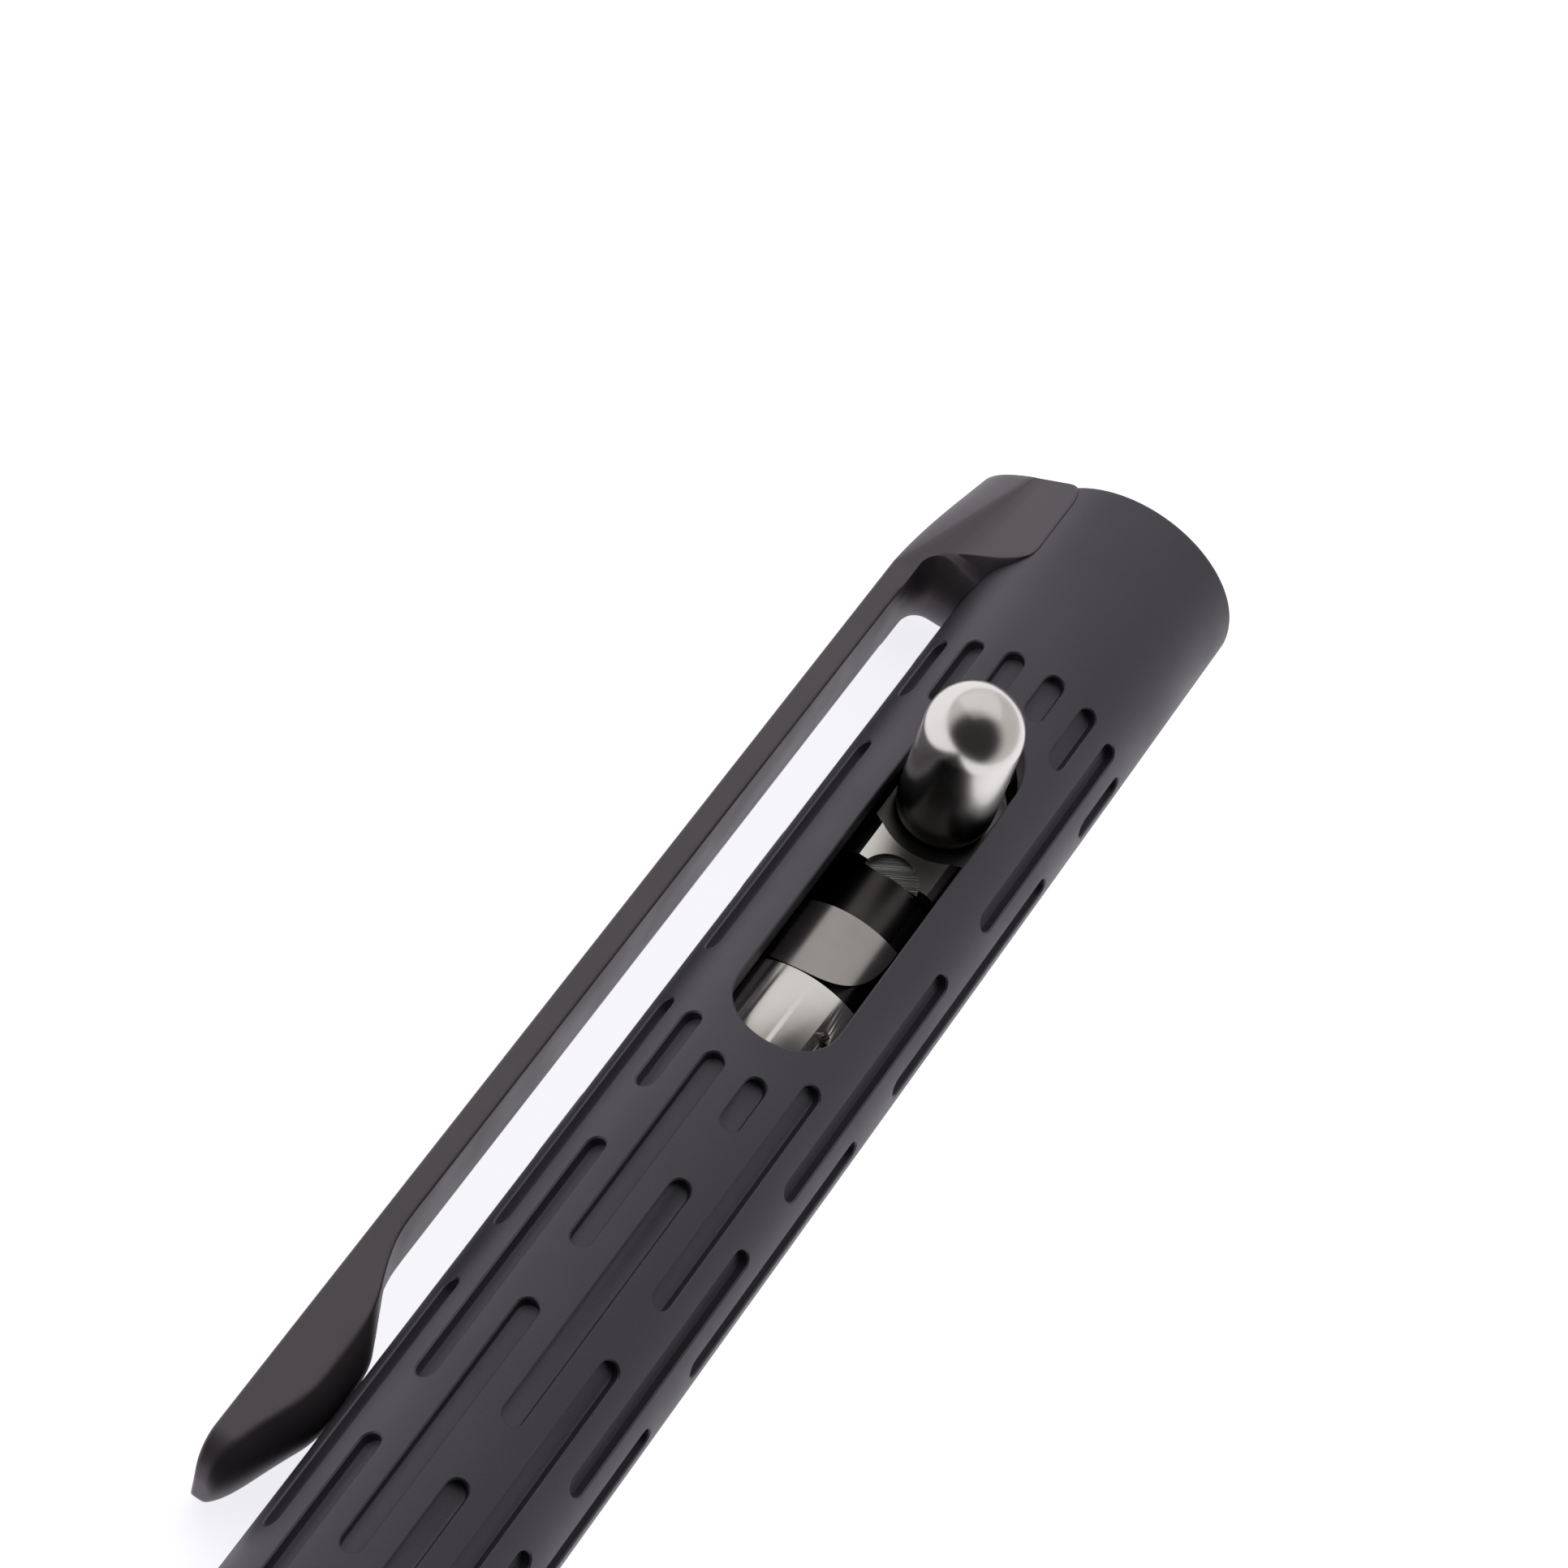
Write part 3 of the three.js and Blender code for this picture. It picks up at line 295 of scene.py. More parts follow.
class StageSettings(bpy.types.PropertyGroup):
    """Camera, lamp, room and floor."""

    camera_place: triple(
        "Camera place",
        "Where the camera stands",
        (0.0677664, -0.0412257, 0.1816215),
        subtype="XYZ",
        unit="LENGTH",
    )
    camera_turn: triple("Camera turn", "How the camera is turned", CAMERA_TURN, subtype="EULER")
    lens: number("Lens", "Focal length on a 36 mm sensor", 110.684, unit="CAMERA")
    key: number("Key lamp", "Power of the large soft lamp in watts", 0.125)
    key_place: triple(
        "Key place", "Where that lamp hangs", (-0.2, -0.14, 0.2), subtype="XYZ", unit="LENGTH"
    )
    key_target: triple(
        "Key target", "What that lamp points at", (-0.03, 0, 0), subtype="XYZ", unit="LENGTH"
    )
    key_width: size("Key width", "Width of that square lamp", 400)
    surround: number("Surround", "Strength of the room's light", 0.68)
    dark_share: number(
        "Dark share", "Share of that light which its dark zone still gives", 0.05, subtype="FACTOR"
    )
    dark_centre: triple(
        "Dark centre", "Way to the middle of the dark zone", (0.72, 0.05, 0.69), subtype="XYZ"
    )
    dark_core: number(
        "Dark core", "Half angle that is fully dark", math.radians(47), unit="ROTATION"
    )
    dark_edge: number(
        "Dark edge", "Half angle at which the dark has faded", math.radians(76), unit="ROTATION"
    )
    floor: colour("Floor", "Pale paper under the pen", "#fbfaff")
    floor_width: size("Floor width", "Width of the sheet of paper", 3000)
    floor_glow: number("Floor glow", "Light that the paper adds where it is seen or mirrored", 0.85)


SETTING_GROUPS = {
    "pen_barrel": BarrelSettings,
    "pen_nose": NoseSettings,
    "pen_clip": ClipSettings,
    "pen_bolt": BoltSettings,
    "pen_inner": InnerSettings,
    "pen_finish": FinishSettings,
    "pen_stage": StageSettings,
}


def add_node(tree, kind, settings=None, links=None):
    """Add a node, set its sockets or properties by name, and link its inputs."""
    node = tree.nodes.new(kind)
    for key, value in (settings or {}).items():
        if isinstance(key, int) or key in node.inputs:
            node.inputs[key].default_value = value
        else:
            setattr(node, key, value)
    for key, source in (links or {}).items():
        tree.links.new(source, node.inputs[key])
    return node


def new_surface(name, settings):
    """A material with one Principled shader, and its tree and shader."""
    material = bpy.data.materials.new(name)
    material.use_nodes = True
    tree = material.node_tree
    tree.nodes.clear()
    shader = add_node(tree, "ShaderNodeBsdfPrincipled", settings)
    add_node(tree, "ShaderNodeOutputMaterial", links={"Surface": shader.outputs["BSDF"]})
    return material, tree, shader


def vary(tree, coordinates, feature, low, high, detail=3):
    """A value that wanders between low and high over patches of one feature size.

    The noise behind it seldom leaves 0.3 to 0.7, which is stretched to span low to high."""
    noise = add_node(
        tree,
        "ShaderNodeTexNoise",
        {"Scale": 1 / feature, "Detail": detail},
        {"Vector": coordinates},
    )
    spread = add_node(
        tree,
        "ShaderNodeMapRange",
        {"From Min": 0.3, "From Max": 0.7, "To Min": low, "To Max": high},
        {"Value": noise.outputs["Fac"]},
    )
    return spread.outputs["Result"]


def mottle(tree, shader, place, tint, feature, low, high):
    """Let the shader's colour wander between a darker and a lighter shade of one tint."""
    cloud = vary(tree, place, feature, low, high)
    scaled = add_node(
        tree, "ShaderNodeVectorMath", {"operation": "SCALE", 0: tuple(tint)}, {"Scale": cloud}
    )
    tree.links.new(scaled.outputs["Vector"], shader.inputs["Base Color"])


def blasted_metal(name, tint, grain, roughness):
    """Aluminium that was blasted with beads and then anodised dark.

    The dents give the eye an even, dull surface without a highlight of its own, and the oxide
    layer takes the mirror out of the metal, so it isn't fully metallic. Patches of 3 and 6 mm make
    that dullness and the colour cloudy. A real dent of 0.02 mm is too fine to show, so the grain
    is drawn four times as coarse."""
    material, tree, shader = new_surface(name, {"Metallic": 0.55, "Roughness": roughness})
    place = add_node(tree, "ShaderNodeTexCoord").outputs["Object"]
    mottle(tree, shader, place, tint, 6 * MM, 0.94, 1.06)
    dull = vary(tree, place, 3 * MM, roughness - 0.04, roughness + 0.04)
    tree.links.new(dull, shader.inputs["Roughness"])
    dents = vary(tree, place, grain, 0, 1, detail=2)
    bump = add_node(
        tree, "ShaderNodeBump", {"Strength": 0.25, "Distance": grain / 8}, {"Height": dents}
    )
    tree.links.new(bump.outputs["Normal"], shader.inputs["Normal"])
    return material


def turned_metal(name, tint, mark, direction, roughness, relief=0.12):
    """Metal that a lathe, a mill or a drawing die left with fine marks across one direction.

    The marks give the eye a soft gloss that is drawn out round a turned piece. A mark is a
    twentieth as deep as it is wide, times the relief. Real marks of 0.03 mm are too fine to show,
    so they are drawn about three times as coarse, or about six times on the spring's thin wire.
    Handling wears the gloss in patches of 1.5 mm."""
    material, tree, shader = new_surface(name, {"Metallic": 1.0, "Roughness": roughness})
    place = add_node(tree, "ShaderNodeTexCoord").outputs["Object"]
    reach = add_node(
        tree, "ShaderNodeVectorMath", {"operation": "DOT_PRODUCT", 1: tuple(direction)}, {0: place}
    )
    count = add_node(
        tree, "ShaderNodeMath", {"operation": "MULTIPLY", 1: 1 / mark}, {0: reach.outputs["Value"]}
    )
    marks = add_node(
        tree,
        "ShaderNodeTexNoise",
        {"noise_dimensions": "1D", "Scale": 1.0, "Detail": 2.0},
    )
    tree.links.new(count.outputs["Value"], marks.inputs["W"])
    worn = vary(tree, place, 1.5 * MM, roughness - 0.02, roughness + 0.03)
    tree.links.new(worn, shader.inputs["Roughness"])
    mottle(tree, shader, place, tint, 2 * MM, 0.96, 1.02)
    bump = add_node(
        tree,
        "ShaderNodeBump",
        {"Strength": min(relief, 1), "Distance": mark / 20 * max(relief, 1)},
        {"Height": marks.outputs["Fac"]},
    )
    tree.links.new(bump.outputs["Normal"], shader.inputs["Normal"])
    return material


def moulded_polymer(name, tint, roughness):
    """Moulded rubber or plastic, or ink in its tube.

    It gives the eye a dark colour without metal's mirror, slightly uneven in patches of 1.2 mm."""
    material, tree, shader = new_surface(name, {"IOR": 1.5, "Roughness": roughness})
    place = add_node(tree, "ShaderNodeTexCoord").outputs["Object"]
    mottle(tree, shader, place, tint, 1.2 * MM, 0.9, 1.1)
    return material


def place_piece(obj, body, material, nodes):
    """Seat a mesh in the model's frame, give it its finish, and let it ride on its body."""
    obj.data.transform(PEN)
    obj.data.materials.clear()
    obj.data.materials.append(material)
    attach(obj, body)
    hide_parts(*nodes)


def mesh_object(name, corners, faces):
    """A linked object from corner and face lists."""
    mesh = bpy.data.meshes.new(name)
    mesh.from_pydata([tuple(c) for c in corners], [], faces)
    mesh.validate()
    obj = bpy.data.objects.new(name, mesh)
    bpy.context.scene.collection.objects.link(obj)
    return obj


def skinned(name, outlines):
    """Skin a row of closed outlines, with a face on each end."""
    count = len(outlines[0])
    last = (len(outlines) - 1) * count
    corners = [corner for outline in outlines for corner in outline]
    faces = []
    for row in range(0, last, count):
        for i in range(count):
            j = (i + 1) % count
            faces.append((row + i, row + j, row + count + j, row + count + i))
    faces.append(tuple(reversed(range(count))))
    faces.append(tuple(range(last, last + count)))
    obj = mesh_object(name, corners, faces)
    face_outwards(obj)
    return obj


def face_outwards(obj):
    """Turn every face of a closed mesh outwards."""
    work = bmesh.new()
    work.from_mesh(obj.data)
    bmesh.ops.recalc_face_normals(work, faces=work.faces)
    work.to_mesh(obj.data)
    work.free()


def linked(name, work):
    """A linked object from a finished bmesh."""
    mesh = bpy.data.meshes.new(name)
    work.to_mesh(mesh)
    work.free()
    obj = bpy.data.objects.new(name, mesh)
    bpy.context.scene.collection.objects.link(obj)
    return obj


def turned(name, profile, sides=128, axis="X"):
    """Turn a half section of (place, radius) pairs about the pen's X axis, or about Y.

    A section that begins on the axis also ends on it. Any other one closes on itself."""
    work = bmesh.new()
    rings = []
    for place, radius in profile:
        if radius < 1e-9:
            centre = (place, 0, 0) if axis == "X" else (0, place, 0)
            rings.append([work.verts.new(centre)])
            continue
        ring = []
        for i in range(sides):
            angle = 2 * math.pi * i / sides
            a, b = radius * math.cos(angle), radius * math.sin(angle)
            ring.append(work.verts.new((place, a, b) if axis == "X" else (a, place, b)))
        rings.append(ring)
    on_axis = len(rings[0]) == 1
    pairs = list(zip(rings, rings[1:])) + ([] if on_axis else [(rings[-1], rings[0])])
    for first, second in pairs:
        for i in range(sides):
            j = (i + 1) % sides
            if len(first) == 1 and len(second) == 1:
                break
            if len(first) == 1:
                work.faces.new((first[0], second[j], second[i]))
            elif len(second) == 1:
                work.faces.new((first[i], first[j], second[0]))
            else:
                work.faces.new((first[i], first[j], second[j], second[i]))
    bmesh.ops.recalc_face_normals(work, faces=work.faces)
    return linked(name, work)


def rod(low, high, radius):
    """Half section of a plain cylinder."""
    return [(low, 0), (low, radius), (high, radius), (high, 0)]


def arc(centre, radius, start, end, steps):
    """Points on an arc, from one angle to another."""
    return [
        (
            centre[0] + radius * math.cos(start + (end - start) * i / steps),
            centre[1] + radius * math.sin(start + (end - start) * i / steps),
        )
        for i in range(steps + 1)
    ]


def stadium(start, end, width, steps=10):
    """A round-ended outline along the pen, as (along, across) pairs."""
    radius = width / 2
    front = arc((end - radius, 0), radius, -QUARTER, QUARTER, steps)
    rear = arc((start + radius, 0), radius, QUARTER, 3 * QUARTER, steps)
    return front + rear


def surface_cutter(name, start, end, width, rings, steps=10):
    """A round-ended cutter whose rings follow the barrel's round surface.

    Each ring is (offset outwards, height, whether the height is counted from the surface)."""
    radius = bpy.context.scene.pen_barrel.diameter / 2
    outlines = []
    for offset, height, from_surface in rings:
        outline = stadium(start - offset, end + offset, width + 2 * offset, steps)
        ring = []
        for x, z in outline:
            base = math.sqrt(max(radius**2 - z**2, 0)) if from_surface else 0
            ring.append((x, base + height, z))
        outlines.append(ring)
    return skinned(name, outlines)


def joined(name, objects):
    """One object from several."""
    work = bmesh.new()
    for obj in objects:
        obj.data.transform(obj.matrix_world)
        work.from_mesh(obj.data)
        bpy.data.objects.remove(obj)
    return linked(name, work)


def combine(obj, other, operation="DIFFERENCE"):
    """Cut, join or intersect with another closed mesh, which is used up."""
    modifier = obj.modifiers.new("combine", "BOOLEAN")
    modifier.operation = operation
    modifier.solver = "MANIFOLD"
    modifier.object = other
    bake_modifiers(obj)
    bpy.data.objects.remove(other)


# Half section of a clip screw's hole, from inside the barrel's bore past the screw's head and up
# into the clip: height above the axis and radius, in mm
SCREW_HOLE = ((3.5, 0), (3.5, 1), (4.78, 1), (4.78, 0.6), (6.95, 0.6), (6.95, 0))


def cut_screw_holes(obj):
    """Cut the stepped holes of the two screws that hold the clip from inside the bore."""
    for name in ("clip_screw_1", "clip_screw_2"):
        low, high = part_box(name)
        profile = [(height * MM, radius * MM) for height, radius in SCREW_HOLE]
        hole = turned("hole", profile, sides=32, axis="Y")
        middle = Matrix.Translation(((low.x + high.x) / 2 - AXIS_PLACE.x, 0, 0))
        hole.data.transform(middle @ Matrix.Rotation(QUARTER, 4, "X"))
        combine(obj, hole)


def bake_modifiers(obj):
    """Replace the mesh by what its modifiers make of it."""
    bpy.context.view_layer.update()
    evaluated = obj.evaluated_get(bpy.context.evaluated_depsgraph_get())
    mesh = bpy.data.meshes.new_from_object(evaluated)
    obj.modifiers.clear()
    obj.data = mesh


def soften(obj, width, angle=30):
    """Round the sharp edges and shade the rest smooth."""
    work = bmesh.new()
    work.from_mesh(obj.data)
    bmesh.ops.remove_doubles(work, verts=work.verts, dist=width / 50)
    bmesh.ops.dissolve_limit(
        work, angle_limit=math.radians(0.5), verts=work.verts, edges=work.edges, delimit={"NORMAL"}
    )
    work.to_mesh(obj.data)
    work.free()
    modifier = obj.modifiers.new("soften", "BEVEL")
    modifier.width = width
    modifier.segments = 2
    modifier.limit_method = "ANGLE"
    modifier.angle_limit = math.radians(angle)
    modifier.harden_normals = True
    bake_modifiers(obj)
    shade(obj, angle)


def shade(obj, angle):
    """Smooth shading over edges up to an angle in degrees."""
    obj.data.shade_smooth()
    obj.data.set_sharp_from_angle(angle=math.radians(angle))


def round_off(obj, radius):
    """Shade the turned outside as one true cylinder, whatever was cut out of it."""
    mesh = obj.data
    normals = [corner.vector.copy() for corner in mesh.corner_normals]
    spokes = [vertex.co * ACROSS for vertex in mesh.vertices]
    for face in mesh.polygons:
        outward = (face.center * ACROSS).normalized()
        if face.normal.dot(outward) < 0.999:
            continue
        if any(abs(spokes[v].length - radius) >= NEAR for v in face.vertices):
            continue
        for loop in face.loop_indices:
            normals[loop] = spokes[mesh.loops[loop].vertex_index].normalized()
    mesh.normals_split_custom_set(normals)


def groove_runs(sizes, column):
    """The column's angle and where its grooves run, with the slot's surroundings left plain."""
    angle = (column + 0.5) * 2 * math.pi / sizes.groove_columns
    across = abs(math.sin(angle)) * sizes.diameter / 2
    facing = math.cos(angle) > 0
    in_line = across < sizes.slot_width / 2 and facing
    margin = sizes.slot_width / 2 + sizes.slot_side_margin
    beside = across - sizes.groove_width / 2 < margin and facing
    rear = sizes.near_rear if in_line else sizes.beside_rear
    front = sizes.near_front if in_line else sizes.beside_front
    start = (sizes.even_ring if column % 2 == 0 else sizes.odd_ring) - 2 * sizes.groove_pitch
    runs = []
    while start < sizes.groove_last:
        low = max(start, sizes.groove_first)
        high = min(start + sizes.groove_length, sizes.groove_last)
        runs += [(low, min(high, rear)), (max(low, front), high)] if beside else [(low, high)]
        start += sizes.groove_pitch
    return angle, [(low, high) for low, high in runs if high - low > 2 * sizes.groove_width]


def barrel_cutters(sizes):
    """Every milled groove and the bolt slot as one mesh."""
    edge, fillet = sizes.edge, sizes.groove_fillet
    floor = sizes.diameter / 2 - sizes.groove_depth
    clear = sizes.diameter / 2 + OVERRUN
    groove_rings = [
        (-fillet, floor, False),
        (-fillet * 0.3, floor + fillet * 0.3, False),
        (0, floor + fillet, False),
        (0, -edge, True),
        (edge, 0, True),
        (2 * edge, edge, True),
        (2 * edge, clear, False),
    ]
    cutters = []
    for column in range(sizes.groove_columns):
        angle, runs = groove_runs(sizes, column)
        for low, high in runs:
            cutter = surface_cutter("groove", low, high, sizes.groove_width, groove_rings)
            cutter.matrix_world = Matrix.Rotation(angle, 4, "X")
            cutters.append(cutter)
    slot_rings = [(0, 0, False), (0, -edge, True), *groove_rings[-3:]]
    slot_end = sizes.slot_start + sizes.slot_length
    cutters.append(
        surface_cutter("slot", sizes.slot_start, slot_end, sizes.slot_width, slot_rings, steps=24)
    )
    bpy.context.view_layer.update()
    return joined("barrel_cutters", cutters)


class PEN_OT_barrel(bpy.types.Operator):
    """Turn the barrel, mill its grooves and slot, and turn the nose and its metal tip"""

    bl_idname = "pen.barrel"
    bl_label = "Barrel and Nose"

    def execute(self, context):
        scene = context.scene
        # Bead blasting and a dark anodised layer leave barrel and nose evenly dull
        blasted = blasted_metal("blasted anodised aluminium", scene.pen_barrel.tint, 0.09 * MM, 0.5)
        self.barrel(scene.pen_barrel, blasted)
        self.nose(scene.pen_nose, scene.pen_barrel, blasted)
        self.tip(scene.pen_nose, scene.pen_finish.steel)
        return {"FINISHED"}

    def barrel(self, sizes, metal):
        """The barrel with its grooves, its slot and the holes of the clip's screws."""
        radius = sizes.diameter / 2
        length = BARREL_HIGH.x - BARREL_LOW.x
        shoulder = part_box("guide_sleeve")[0].x - BARREL_LOW.x - SEAT_GAP
        body = turned(
            "barrel_tube",
            [
                (0, radius - sizes.chamfer),
                (sizes.chamfer * 0.3, radius - sizes.chamfer * 0.3),
                (sizes.chamfer, radius),
                (length - sizes.edge, radius),
                (length, radius - sizes.edge),
                (length, sizes.counterbore / 2),
                (shoulder, sizes.counterbore / 2),
                (shoulder, sizes.bore / 2),
                (0, sizes.bore / 2),
            ],
            sides=192,
        )
        combine(body, barrel_cutters(sizes))
        cut_screw_holes(body)
        shade(body, 25)
        round_off(body, radius)
        place_piece(body, "barrel", metal, ["barrel"])

    def nose(self, sizes, barrel, metal):
        """The nose section, whose spigot has a groove for the seal."""
        low, front = extent("nose_section")
        rear = BARREL_HIGH.x - AXIS_PLACE.x + FIT_GAP
        radius, spigot = barrel.diameter / 2, sizes.spigot / 2
        ring_low, ring_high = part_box("nose_o_ring")
        floor = (ring_high.z - ring_low.z) / 2 - sizes.ring_depth
        before = ring_low.x - AXIS_PLACE.x - sizes.ring_play
        after = ring_high.x - AXIS_PLACE.x + sizes.ring_play
        profile = [(low, spigot), (before, spigot), (before, floor), (after, floor)]
        profile += [(after, spigot), (rear, spigot)]
        profile += [(rear, radius - barrel.edge), (rear + barrel.edge, radius)]
        start, steps = rear + sizes.straight, 24
        for i in range(steps + 1):
            share = i / steps
            narrowed = radius + (sizes.front / 2 - radius) * share**2
            profile.append((start + (front - start) * share, narrowed))
        throat, inside = sizes.throat / 2, front - sizes.throat_length
        profile += [(front, throat), (inside, throat), (inside, sizes.bore / 2)]
        profile.append((low, sizes.bore / 2))
        nose = turned("nose_cone", profile)
        shade(nose, 25)
        place_piece(nose, "nose", metal, ["nose_section"])

    def tip(self, sizes, tint):
        """The metal tip that the refill's point comes out of."""
        low, high = extent("nose_tip")
        shoulder = extent("nose_section")[1] + sizes.tip_gap
        stub, clear, mouth = sizes.tip_stub / 2, sizes.tip_clear / 2, sizes.tip_mouth / 2
        profile = [(low, stub), (shoulder, stub), (shoulder, sizes.front / 2)]
        corner = arc((sizes.tip_end / 2, high - sizes.tip_round), sizes.tip_round, 0, QUARTER, 6)
        profile += [(place, radius) for radius, place in corner]
        inside = high - sizes.tip_mouth_length
        profile += [(high, mouth), (inside, mouth), (inside, clear), (low, clear)]
        tip = turned("tip_insert", profile, sides=96)
        shade(tip, 40)
        # The lathe's rings draw the tip's gloss out round it
        steel = turned_metal("turned stainless steel tip", tint, 0.1 * MM, ALONG, 0.22)
        place_piece(tip, "nose", steel, ["nose_tip"])


def mirrored(half, place):
    """A closed outline across the pen from the points of its right half, listed upwards."""
    right = [(place, p[0], p[1]) for p in half]
    left = [(place, -p[0], p[1]) for p in reversed(half) if p[0] > 0]
    return right + left


def through(points, steps):
    """A smooth row of points through the given ones, with a number of steps between each two."""
    points = [Vector(point) for point in points]
    ends = [points[0] * 2 - points[1], *points, points[-1] * 2 - points[-2]]
    row = []
    for a, b, c, d in zip(ends, ends[1:], ends[2:], ends[3:]):
        for i in range(steps):
            t = i / steps
            bend = (a * 2 - b * 5 + c * 4 - d) * t**2 + (b * 3 - a - c * 3 + d) * t**3
            row.append((b * 2 + (c - a) * t + bend) / 2)
    return row + [points[-1]]


def divided(a, b, steps):
    """Points from one to another in equal steps, without the last."""
    return [a + (b - a) * i / steps for i in range(steps)]


def rounded(a, corner, b, steps):
    """Points of a curve from one point to another that is drawn towards a corner."""
    curve = []
    for i in range(steps + 1):
        t = i / steps
        curve.append(a * (1 - t) ** 2 + corner * 2 * t * (1 - t) + b * t**2)
    return curve


# The head's front edge, from the flank's foot over the corner and up the neck to the arm, in mm:
# place along the clip, height above the axis, and half width where the wall below meets the barrel
FRONT_EDGE = (
    (4.5, 3.5, 4.3),
    (4.95, 3.58, 4.23),
    (5.2, 3.77, 4.07),
    (5.4, 4.1, 3.87),
    (5.52, 4.42, 3.7),
    (5.63, 4.85, 3.45),
    (5.69, 5.3, 3.15),
    (5.75, 5.9, 2.85),
    (5.88, 6.6, 2.55),
    (6.3, 7.2, 2.2),
    (6.98, 7.56, 1.98),
    (7.9, 7.72, 1.9),
    (9, 7.78, 1.8),
)

# The arm's underside from where the foot begins to drop, to the tip, in mm:
# place along the clip, height of its side edges, and height of the keel in its middle
FOOT = (
    (49, 7.73, 7.73),
    (50, 7.69, 7.69),
    (51, 7.5, 7.46),
    (52, 7.19, 7.05),
    (53, 6.82, 6.57),
    (54, 6.58, 6.08),
    (55, 6.51, 5.68),
    (56.5, 6.49, 5.57),
    (58, 6.53, 5.57),
    (59, 6.74, 5.72),
    (60, 7.1, 6.08),
    (61, 7.46, 6.44),
    (62.2, 7.78, 6.85),
    (63.5, 7.95, 7.25),
)

# Steps along each stretch of an outline across the clip. The head's and the arm's outlines have the
# same count of points, so that one skin runs over both
BASE_STEPS = 8
WALL_STEPS = 5
CORNER_STEPS = 4
FLANK_STEPS = 4
CREST_STEPS = 14


class PEN_OT_clip(bpy.types.Operator):
    """Form the clip: its saddle head, its flat arm and its keel-shaped foot"""

    bl_idname = "pen.clip"
    bl_label = "Clip"

    def execute(self, context):
        sizes = context.scene.pen_clip
        self.radius = context.scene.pen_barrel.diameter / 2 + sizes.shadow_gap
        outlines = self.rear_outlines(sizes)
        outlines += [self.head(sizes, *(point * MM)) for point in through(FRONT_EDGE, 4)]
        arm_start = FRONT_EDGE[-1][0] * MM + sizes.edge
        outlines.append(self.arm(sizes, arm_start, FOOT[0][1] * MM, FOOT[0][2] * MM))
        outlines += self.foot_outlines(sizes)
        clip = skinned("pocket_clip", outlines)
        combine(clip, self.slot(sizes))
        cut_screw_holes(clip)
        shade(clip, 40)
        # Blasted like the barrel, with slightly finer beads, so it looks a little glossier
        metal = blasted_metal("blasted clip metal", sizes.tint, 0.08 * MM, 0.48)
        place_piece(clip, "barrel", metal, ["clip"])
        return {"FINISHED"}

    def rear_outlines(self, sizes):
        """The outlines behind the head's front edge, whose lower corner is rounded at the rear."""
        foot_x, foot_z, foot_y = (value * MM for value in FRONT_EDGE[0])
        inset, steps = sizes.edge / 2, 13
        full_lift = sizes.rear_corner / 2
        lean = 0.6
        outlines = [self.head(sizes, 0, foot_z + full_lift, foot_y - lean * full_lift, inset)]
        for i in range(steps):
            x = inset + (foot_x - inset) * i / steps
            lift = full_lift * max(0, 1 - x / sizes.rear_corner) ** 2
            outlines.append(self.head(sizes, x, foot_z + lift, foot_y - lean * lift))
        return outlines

    def foot_outlines(self, sizes):
        """The outlines along the foot, and round its tip as that narrows and thins."""
        foot = [point * MM for point in through(FOOT, 4)]
        bend, steps = sizes.length - sizes.tip_radius, 16
        apart = 0.05 * MM
        outlines = [self.arm(sizes, *point) for point in foot if point.x < bend - apart]
        for i in range(steps + 1):
            turn = QUARTER * i / steps
            x = bend + sizes.tip_radius * math.sin(turn)
            before, after = next(pair for pair in zip(foot, foot[1:]) if pair[1].x > x - 1e-9)
            point = before.lerp(after, (x - before.x) / (after.x - before.x))
            outlines.append(self.arm(sizes, *point, 1 - math.cos(turn)))
        return outlines

    def head(self, sizes, place, edge_height, foot_half, inset=0):
        """The outline across the head at one place.

        Its side ends at edge_height, and from there a wall goes in to foot_half on the barrel."""
        share = min(place / sizes.ramp, 1)
        rise = (sizes.height - sizes.head_height) * math.sin(share * QUARTER)
        top = sizes.head_height + rise - inset
        arm, edge = sizes.width / 2, sizes.edge
        # How far the flank leans out for each step down from the shoulder
        fall = (sizes.flank_foot_width - sizes.shoulder_width) / 2
        fall /= sizes.shoulder_height - sizes.flank_foot
        shoulder = Vector((sizes.shoulder_width / 2, sizes.shoulder_height))
        bend = Vector((arm, shoulder.y + (shoulder.x - arm) / fall))
        leave = shoulder.lerp(bend, share)
        side = shoulder.lerp(Vector((arm, sizes.height - edge)), share)
        drawn = Vector((shoulder.x - fall * (top - shoulder.y), top))
        drawn = drawn.lerp(Vector((arm, top)), share)
        crest = Vector((sizes.head_flat / 2, top)).lerp(Vector((arm - edge, top)), share)
        if edge_height < leave.y:
            front = Vector((leave.x + fall * (leave.y - edge_height), edge_height))
        else:
            reach = min((edge_height - leave.y) / max(side.y - leave.y, 1e-6), 1)
            front = leave.lerp(side, reach)
        apart = 0.03 * MM
        leave.y = max(leave.y, front.y + apart)
        side.y = max(side.y, leave.y + apart)
        foot = Vector((foot_half, math.sqrt(self.radius**2 - foot_half**2)))
        room = min(edge, 0.4 * (front - foot).length)
        before = front + (foot - front).normalized() * room
        after = front + (leave - front).normalized() * min(edge, 0.4 * (leave - front).length)
        angle = math.atan2(foot.x, foot.y)
        base = arc((0, 0), self.radius, 0, angle, BASE_STEPS)[:-1]
        half = [Vector((out, up)) for up, out in base]
        half += divided(foot, before, WALL_STEPS)
        half += rounded(before, front, after, CORNER_STEPS)[:-1]
        half += divided(after, leave, FLANK_STEPS) + divided(leave, side, FLANK_STEPS)
        half += rounded(side, drawn, crest, CREST_STEPS) + [Vector((0, top))]
        return mirrored([(p.x - inset if p.x > 2 * inset else p.x, p.y) for p in half], place)

